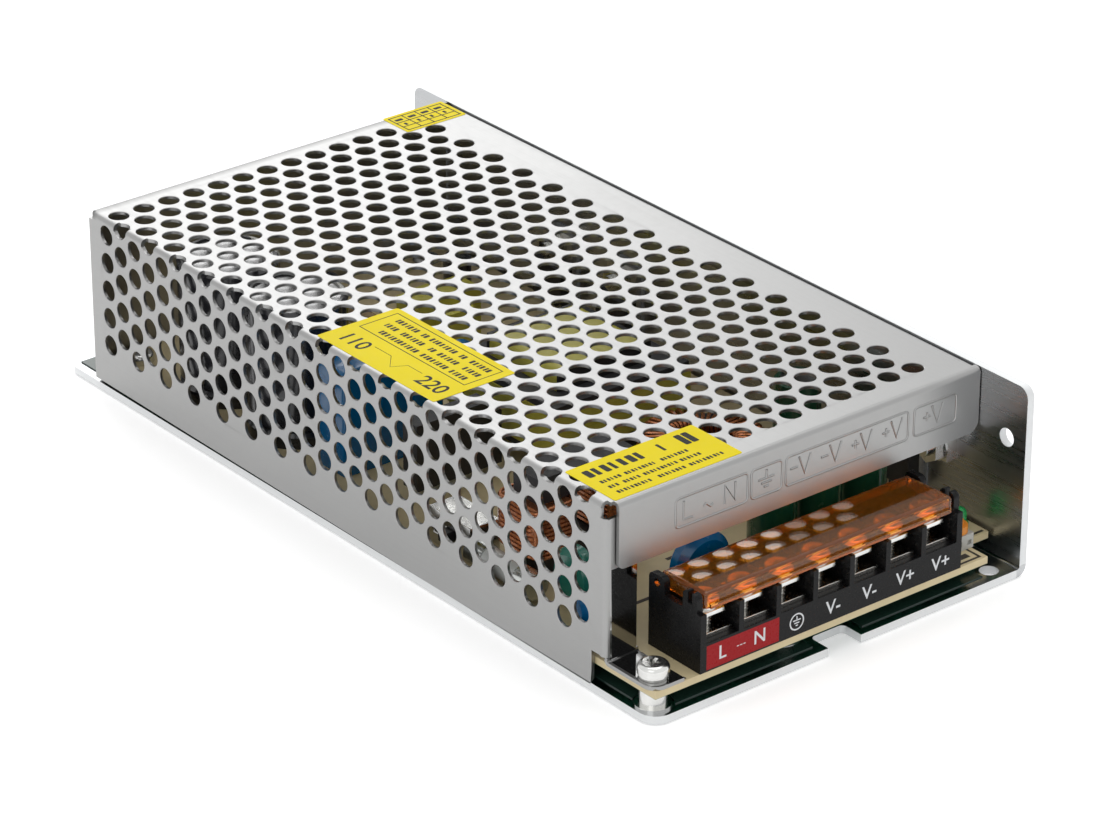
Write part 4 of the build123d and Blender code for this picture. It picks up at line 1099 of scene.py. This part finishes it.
class SUPPLY_OT_fasteners(bpy.types.Operator):
    """Replaces the tab screw by a detailed one and plates the other fasteners"""
    bl_idname = "supply.fasteners"
    bl_label = "Fasteners"

    def execute(self, context):
        zinc = bpy.data.materials["bright_zinc"]
        low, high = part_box("tab_screw")
        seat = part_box("tab_spring_washer")[1].z
        middle = (low + high) / 2
        shank_d, pitch, turn = 2.9 * MM, 0.5 * MM, math.radians(25)
        screw = pan_screw(high.x - low.x, high.z - seat, shank_d, seat - low.z, pitch)
        placed(screw, (middle.x, middle.y, seat), (0, 0, turn))
        settle(screw, "tab_screw_piece", "main", zinc, ["tab_screw"], thread_angle)
        soften("tab_spring_washer", 0.1 * MM, "spring_washer", "main", zinc)
        self.recess_heads("cover_side_screws", Vector((1, 0, 0)), zinc)
        self.recess_heads("device_screws", Vector((1, 0, 0)), zinc)
        self.recess_heads("board_screws", Vector((0, 0, -1)), zinc)
        dress(["board_standoffs", "device_washers", "device_nuts", "device_clip"], zinc)
        return {"FINISHED"}

    @staticmethod
    def recess_heads(node, out, material):
        """Sinks a cross into each head of a node's screws, which point out along a given direction."""
        copy = bevelled_copy(node, 0.12 * MM)
        begin_edit(copy, "VERT", everything=True)
        bpy.ops.mesh.separate(type="LOOSE")
        end_edit()
        screws = list(bpy.context.selected_objects)
        length, width, reach = 2.6 * MM, 0.6 * MM, 1.6 * MM
        for screw in screws:
            corners = [vertex.co for vertex in screw.data.vertices]
            low = Vector(min(corner[i] for corner in corners) for i in range(3))
            high = Vector(max(corner[i] for corner in corners) for i in range(3))
            middle, half = (low + high) / 2, (high - low) / 2
            head = middle + Vector(out[i] * half[i] for i in range(3))
            turn = Vector((0, 0, 1)).rotation_difference(out).to_euler()
            for slot in ((length, width, reach), (width, length, reach)):
                cut_out(screw, placed(unit_box(slot, (0, 0, 0)), head, turn))
        settle(joined(screws), f"{node}_recessed", "main", material, [node], thread_angle)


class SUPPLY_OT_capacitors(bpy.types.Operator):
    """Finishes the capacitors, the varistor and the thermistor"""
    bl_idname = "supply.capacitors"
    bl_label = "Capacitors and discs"

    def execute(self, context):
        dish, stripe = 0.4 * MM, 2.2 * MM
        for number in (1, 2):
            node = f"bulk_capacitor_{number}"
            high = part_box(node)[1]
            dress([node], can_finish(f"bulk_sleeve_{number}", (0.02, 0.02, 0.024), [high.z - dish],
                                     high.x - stripe))
        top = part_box("output_capacitors")[1].z
        dress(["output_capacitors"], can_finish("green_sleeve", (0.014, 0.085, 0.042), [top - dish]))
        tops = [board_high.z + height * MM - dish for height in (11.0, 14.0)]
        dress(["small_capacitors"], can_finish("small_sleeve", (0.02, 0.02, 0.03), tops))
        dress(["varistor", "safety_capacitors"], dipped("blue_coating", (0.0, 0.16, 0.42)).material)
        blue = dipped("blue_case", (0.0, 0.15, 0.38), 0.1).material
        soften("film_capacitor", 0.2 * MM, "film_capacitor_case", "main", blue)
        dress(["thermistor"], dipped("green_coating", (0.02, 0.22, 0.16)).material)
        return {"FINISHED"}


class SUPPLY_OT_chokes(bpy.types.Operator):
    """Winds the ring choke and the filter choke with round wire"""
    bl_idname = "supply.chokes"
    bl_label = "Chokes"

    def execute(self, context):
        look = context.scene.inner_look
        copper = wire_finish(look)
        ferrite = moulded("ferrite", (0.03, 0.03, 0.032), 0.45, 0.6, 900.0, 0.3).material
        dress(["output_choke_core", "filter_choke_core", "transformer_core"], ferrite)
        self.ring_winding(look, copper)
        self.leg_windings(copper)
        return {"FINISHED"}

    @staticmethod
    def ring_winding(look, copper):
        """Turns of wire round the ring core."""
        low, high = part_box("output_choke_winding")
        core_low, core_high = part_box("output_choke_core")
        middle = (core_low + core_high) / 2
        outer = (high.x - low.x) / 2
        wire, core_bore = 0.42 * MM, 7.0 * MM
        inner = core_bore - 2 * wire
        height = high.z - low.z
        loop = wire_frame(outer - inner - 2 * wire, height - 2 * wire, 1.2 * MM, wire, 3, 1)
        placed(loop, ((outer + inner) / 2, 0, 0), upright)
        turns = [placed(twin(loop), middle, (0, 0, 2 * math.pi * number / look.strands))
                 for number in range(look.strands)]
        bpy.data.objects.remove(loop)
        settle(joined(turns), "ring_winding", "main", copper, ["output_choke_winding"],
               wire_angle)

    @staticmethod
    def leg_windings(copper):
        """Two windings on the legs of the filter choke, each of close turns on a plain former."""
        low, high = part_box("filter_choke_windings")
        depth = high.y - low.y
        width, wire, former_corner = 11.8 * MM, 0.45 * MM, 1.4 * MM
        count = int((high.z - low.z) / (2.06 * wire))
        pieces = []
        for side in (low.x + width / 2, high.x - width / 2):
            half = width / 2 - wire
            pieces.append(rounded_box((side - half, low.y + wire, low.z),
                                      (side + half, high.y - wire, high.z), former_corner))
            for number in range(count):
                loop = wire_frame(width - 2 * wire, depth - 2 * wire, 2.6 * MM, wire, 4, 1)
                height = low.z + wire + number * (high.z - low.z - 2 * wire) / (count - 1)
                pieces.append(placed(loop, (side, (low.y + high.y) / 2, height)))
        settle(joined(pieces), "leg_windings", "main", copper, ["filter_choke_windings"],
               wire_angle)


class SUPPLY_OT_transformer(bpy.types.Operator):
    """Finishes the transformers with their tape, bobbin and windings"""
    bl_idname = "supply.transformer"
    bl_label = "Transformers"

    def execute(self, context):
        tape = tape_finish(context.scene.inner_look)
        dress(["transformer_winding", "transformer_tape", "drive_transformer"], tape)
        dress(["transformer_bobbin"], moulded("bobbin", (0.02, 0.02, 0.02)).material)
        return {"FINISHED"}


class SUPPLY_OT_power_devices(bpy.types.Operator):
    """Finishes the devices on the side wall and their pads"""
    bl_idname = "supply.power_devices"
    bl_label = "Power devices"

    def execute(self, context):
        colour, tab_from_outside = (0.02, 0.02, 0.021), 3.42 * MM
        black = moulded("device_moulding", colour, 0.35, 0.5)
        tab = black.above(black.parts(black.place)[0], case_high.x - tab_from_outside)
        black.paint("Base Color", black.mix(tab, black.varied(colour, 120.0, 0.1), (0.62, 0.6, 0.57, 1)))
        black.paint("Metallic", tab)
        dress(["output_rectifier", "switching_transistors"], black.material)
        dress(["bridge_rectifier"], moulded("bridge_moulding", (0.018, 0.018, 0.02), 0.35, 0.5).material)
        dress(["insulating_pads"], moulded("silicone_pad", (0.3, 0.31, 0.33), 0.55, 0.7, 700.0, 0.3).material)
        return {"FINISHED"}


class SUPPLY_OT_small_parts(bpy.types.Operator):
    """Finishes the fuse, the resistors, the control chip and the leads"""
    bl_idname = "supply.small_parts"
    bl_label = "Small parts"

    def execute(self, context):
        dress(["component_leads"], plated("tinned_lead", (0.72, 0.71, 0.69), 0.2, 0.36))
        dress(["control_chip"], moulded("chip_moulding", (0.02, 0.02, 0.022), 0.35, 0.5).material)
        self.dress_resistors()
        self.dress_fuse()
        return {"FINISHED"}

    @staticmethod
    def dress_resistors():
        """Lacquered bodies with slanting bands, which show whichever way a body lies."""
        lacquer = (0.5, 0.36, 0.2)
        finish = dipped("lacquer", lacquer, 0.1)
        wave = finish.add("ShaderNodeTexWave", {"wave_type": "BANDS", "bands_direction": "DIAGONAL"},
                          {"Vector": finish.place, "Scale": 160.0, "Distortion": 0.0})
        band = finish.above(wave.outputs["Fac"], 0.86)
        body = finish.varied(lacquer, 180.0, 0.12)
        finish.paint("Base Color", finish.mix(band, body, (0.12, 0.03, 0.02, 1)))
        dress(["resistors"], finish.material)

    @staticmethod
    def dress_fuse():
        """A pale tube with bright end caps."""
        cap_length = 5.0 * MM
        low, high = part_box("fuse")
        finish = dipped("fuse_tube", (0.6, 0.62, 0.6), 0.05)
        from_middle = finish.size(finish.minus(finish.parts(finish.place)[1], (low.y + high.y) / 2))
        cap = finish.above(from_middle, (high.y - low.y) / 2 - cap_length)
        finish.paint("Metallic", cap)
        dress(["fuse"], finish.material)


# Where the camera looks, in millimetres
camera_target = Vector((-6.171, -15.37, 21.0))


class SUPPLY_OT_stage(bpy.types.Operator):
    """Sets the floor, the lamps, the world and the camera"""
    bl_idname = "supply.stage"
    bl_label = "Stage"

    def execute(self, context):
        look = context.scene.stage_look
        self.floor(look)
        self.lamps(look)
        self.world()
        self.camera(look)
        context.scene.view_settings.view_transform = "Standard"
        return {"FINISHED"}

    @staticmethod
    def floor(look):
        """A wide pale floor that the camera and reflections see as white, with the object's shadow."""
        deselect_all()
        width, gap = 12, 0.2 * MM
        bpy.ops.mesh.primitive_grid_add(x_subdivisions=4, y_subdivisions=4, size=width, location=(0, 0, -gap))
        floor = bpy.context.object
        floor.name = "floor"
        finish = Finish("floor_paint", Base_Color=(*look.floor_colour, 1), Roughness=0.9,
                        Emission_Color=(1, 1, 1, 1))
        finish.paint("Emission Strength", finish.times(finish.seen_white(), look.floor_glow))
        floor.data.materials.append(finish.material)

    @staticmethod
    def lamps(look):
        """A large soft lamp above, one behind that the cover's top reflects, and a weaker one at the left."""
        for name, power, size, place in (("top_lamp", look.top_light, 1.2, (0.25, 0.2, 1.5)),
                                         ("back_lamp", look.back_light, 1.3, (0.62, 1.6, 0.8)),
                                         ("side_lamp", look.side_light, 1.0, (-1.3, -0.9, 1.1))):
            lamp = bpy.data.lights.new(name, "AREA")
            lamp.energy = power
            lamp.size = size
            holder = bpy.data.objects.new(name, lamp)
            bpy.context.collection.objects.link(holder)
            holder.location = place
            holder.rotation_euler = (-Vector(place)).to_track_quat("-Z", "Y").to_euler()

    @staticmethod
    def world():
        """White round the object for the camera, glossy and clear surfaces, and softer light for the rest."""
        soft_light = 0.75
        world = bpy.data.worlds.new("studio")
        bpy.context.scene.world = world
        world.use_nodes = True
        nodes = Nodes(world.node_tree)
        background = world.node_tree.nodes["Background"].inputs
        nodes.feed(background["Color"], (1, 1, 1, 1))
        nodes.feed(background["Strength"], nodes.between(nodes.seen_white(), soft_light, 1.0, 0.0, 1.0))

    @staticmethod
    def camera(look):
        """The photograph's view: a long lens from the left front."""
        level = math.cos(look.elevation)
        back = Vector((math.sin(look.azimuth) * level, -math.cos(look.azimuth) * level,
                       math.sin(look.elevation)))
        target = camera_target * MM
        camera = bpy.data.cameras.new("camera")
        camera.lens = look.lens
        camera.sensor_width = 36.0
        camera.clip_start = 0.01
        holder = bpy.data.objects.new("camera", camera)
        bpy.context.collection.objects.link(holder)
        holder.location = target + back * look.camera_distance
        holder.rotation_euler = back.to_track_quat("Z", "Y").to_euler()
        holder.rotation_euler.rotate_axis("Z", look.roll)
        bpy.context.scene.camera = holder


class SUPPLY_PT_panel(bpy.types.Panel):
    """Lists the pieces of the power supply"""
    bl_label = "Power supply"
    bl_idname = "SUPPLY_PT_panel"
    bl_space_type = "VIEW_3D"
    bl_region_type = "UI"
    bl_category = "Power supply"

    def draw(self, context):
        for operator in operators:
            self.layout.operator(operator.bl_idname)


looks = {"case_look": CaseLook, "terminal_look": TerminalLook, "inner_look": InnerLook,
         "stage_look": StageLook}
operators = (SUPPLY_OT_case, SUPPLY_OT_lip_marks, SUPPLY_OT_labels, SUPPLY_OT_terminal_block,
             SUPPLY_OT_terminal_screws, SUPPLY_OT_terminal_lid, SUPPLY_OT_board, SUPPLY_OT_front_controls,
             SUPPLY_OT_fasteners, SUPPLY_OT_capacitors, SUPPLY_OT_chokes, SUPPLY_OT_transformer,
             SUPPLY_OT_power_devices, SUPPLY_OT_small_parts, SUPPLY_OT_stage)


def register():
    """Registers the classes and their settings on the scene."""
    for kind in (*looks.values(), *operators, SUPPLY_PT_panel):
        bpy.utils.register_class(kind)
    for name, kind in looks.items():
        setattr(bpy.types.Scene, name, PointerProperty(type=kind))


def unregister():
    """Takes the settings and classes away again."""
    for name in looks:
        delattr(bpy.types.Scene, name)
    for kind in reversed((*looks.values(), *operators, SUPPLY_PT_panel)):
        bpy.utils.unregister_class(kind)


def main():
    """Builds the looks step by step."""
    register()
    for operator in operators:
        area, name = operator.bl_idname.split(".")
        getattr(getattr(bpy.ops, area), name)()


if __name__ == "__main__":
    main()
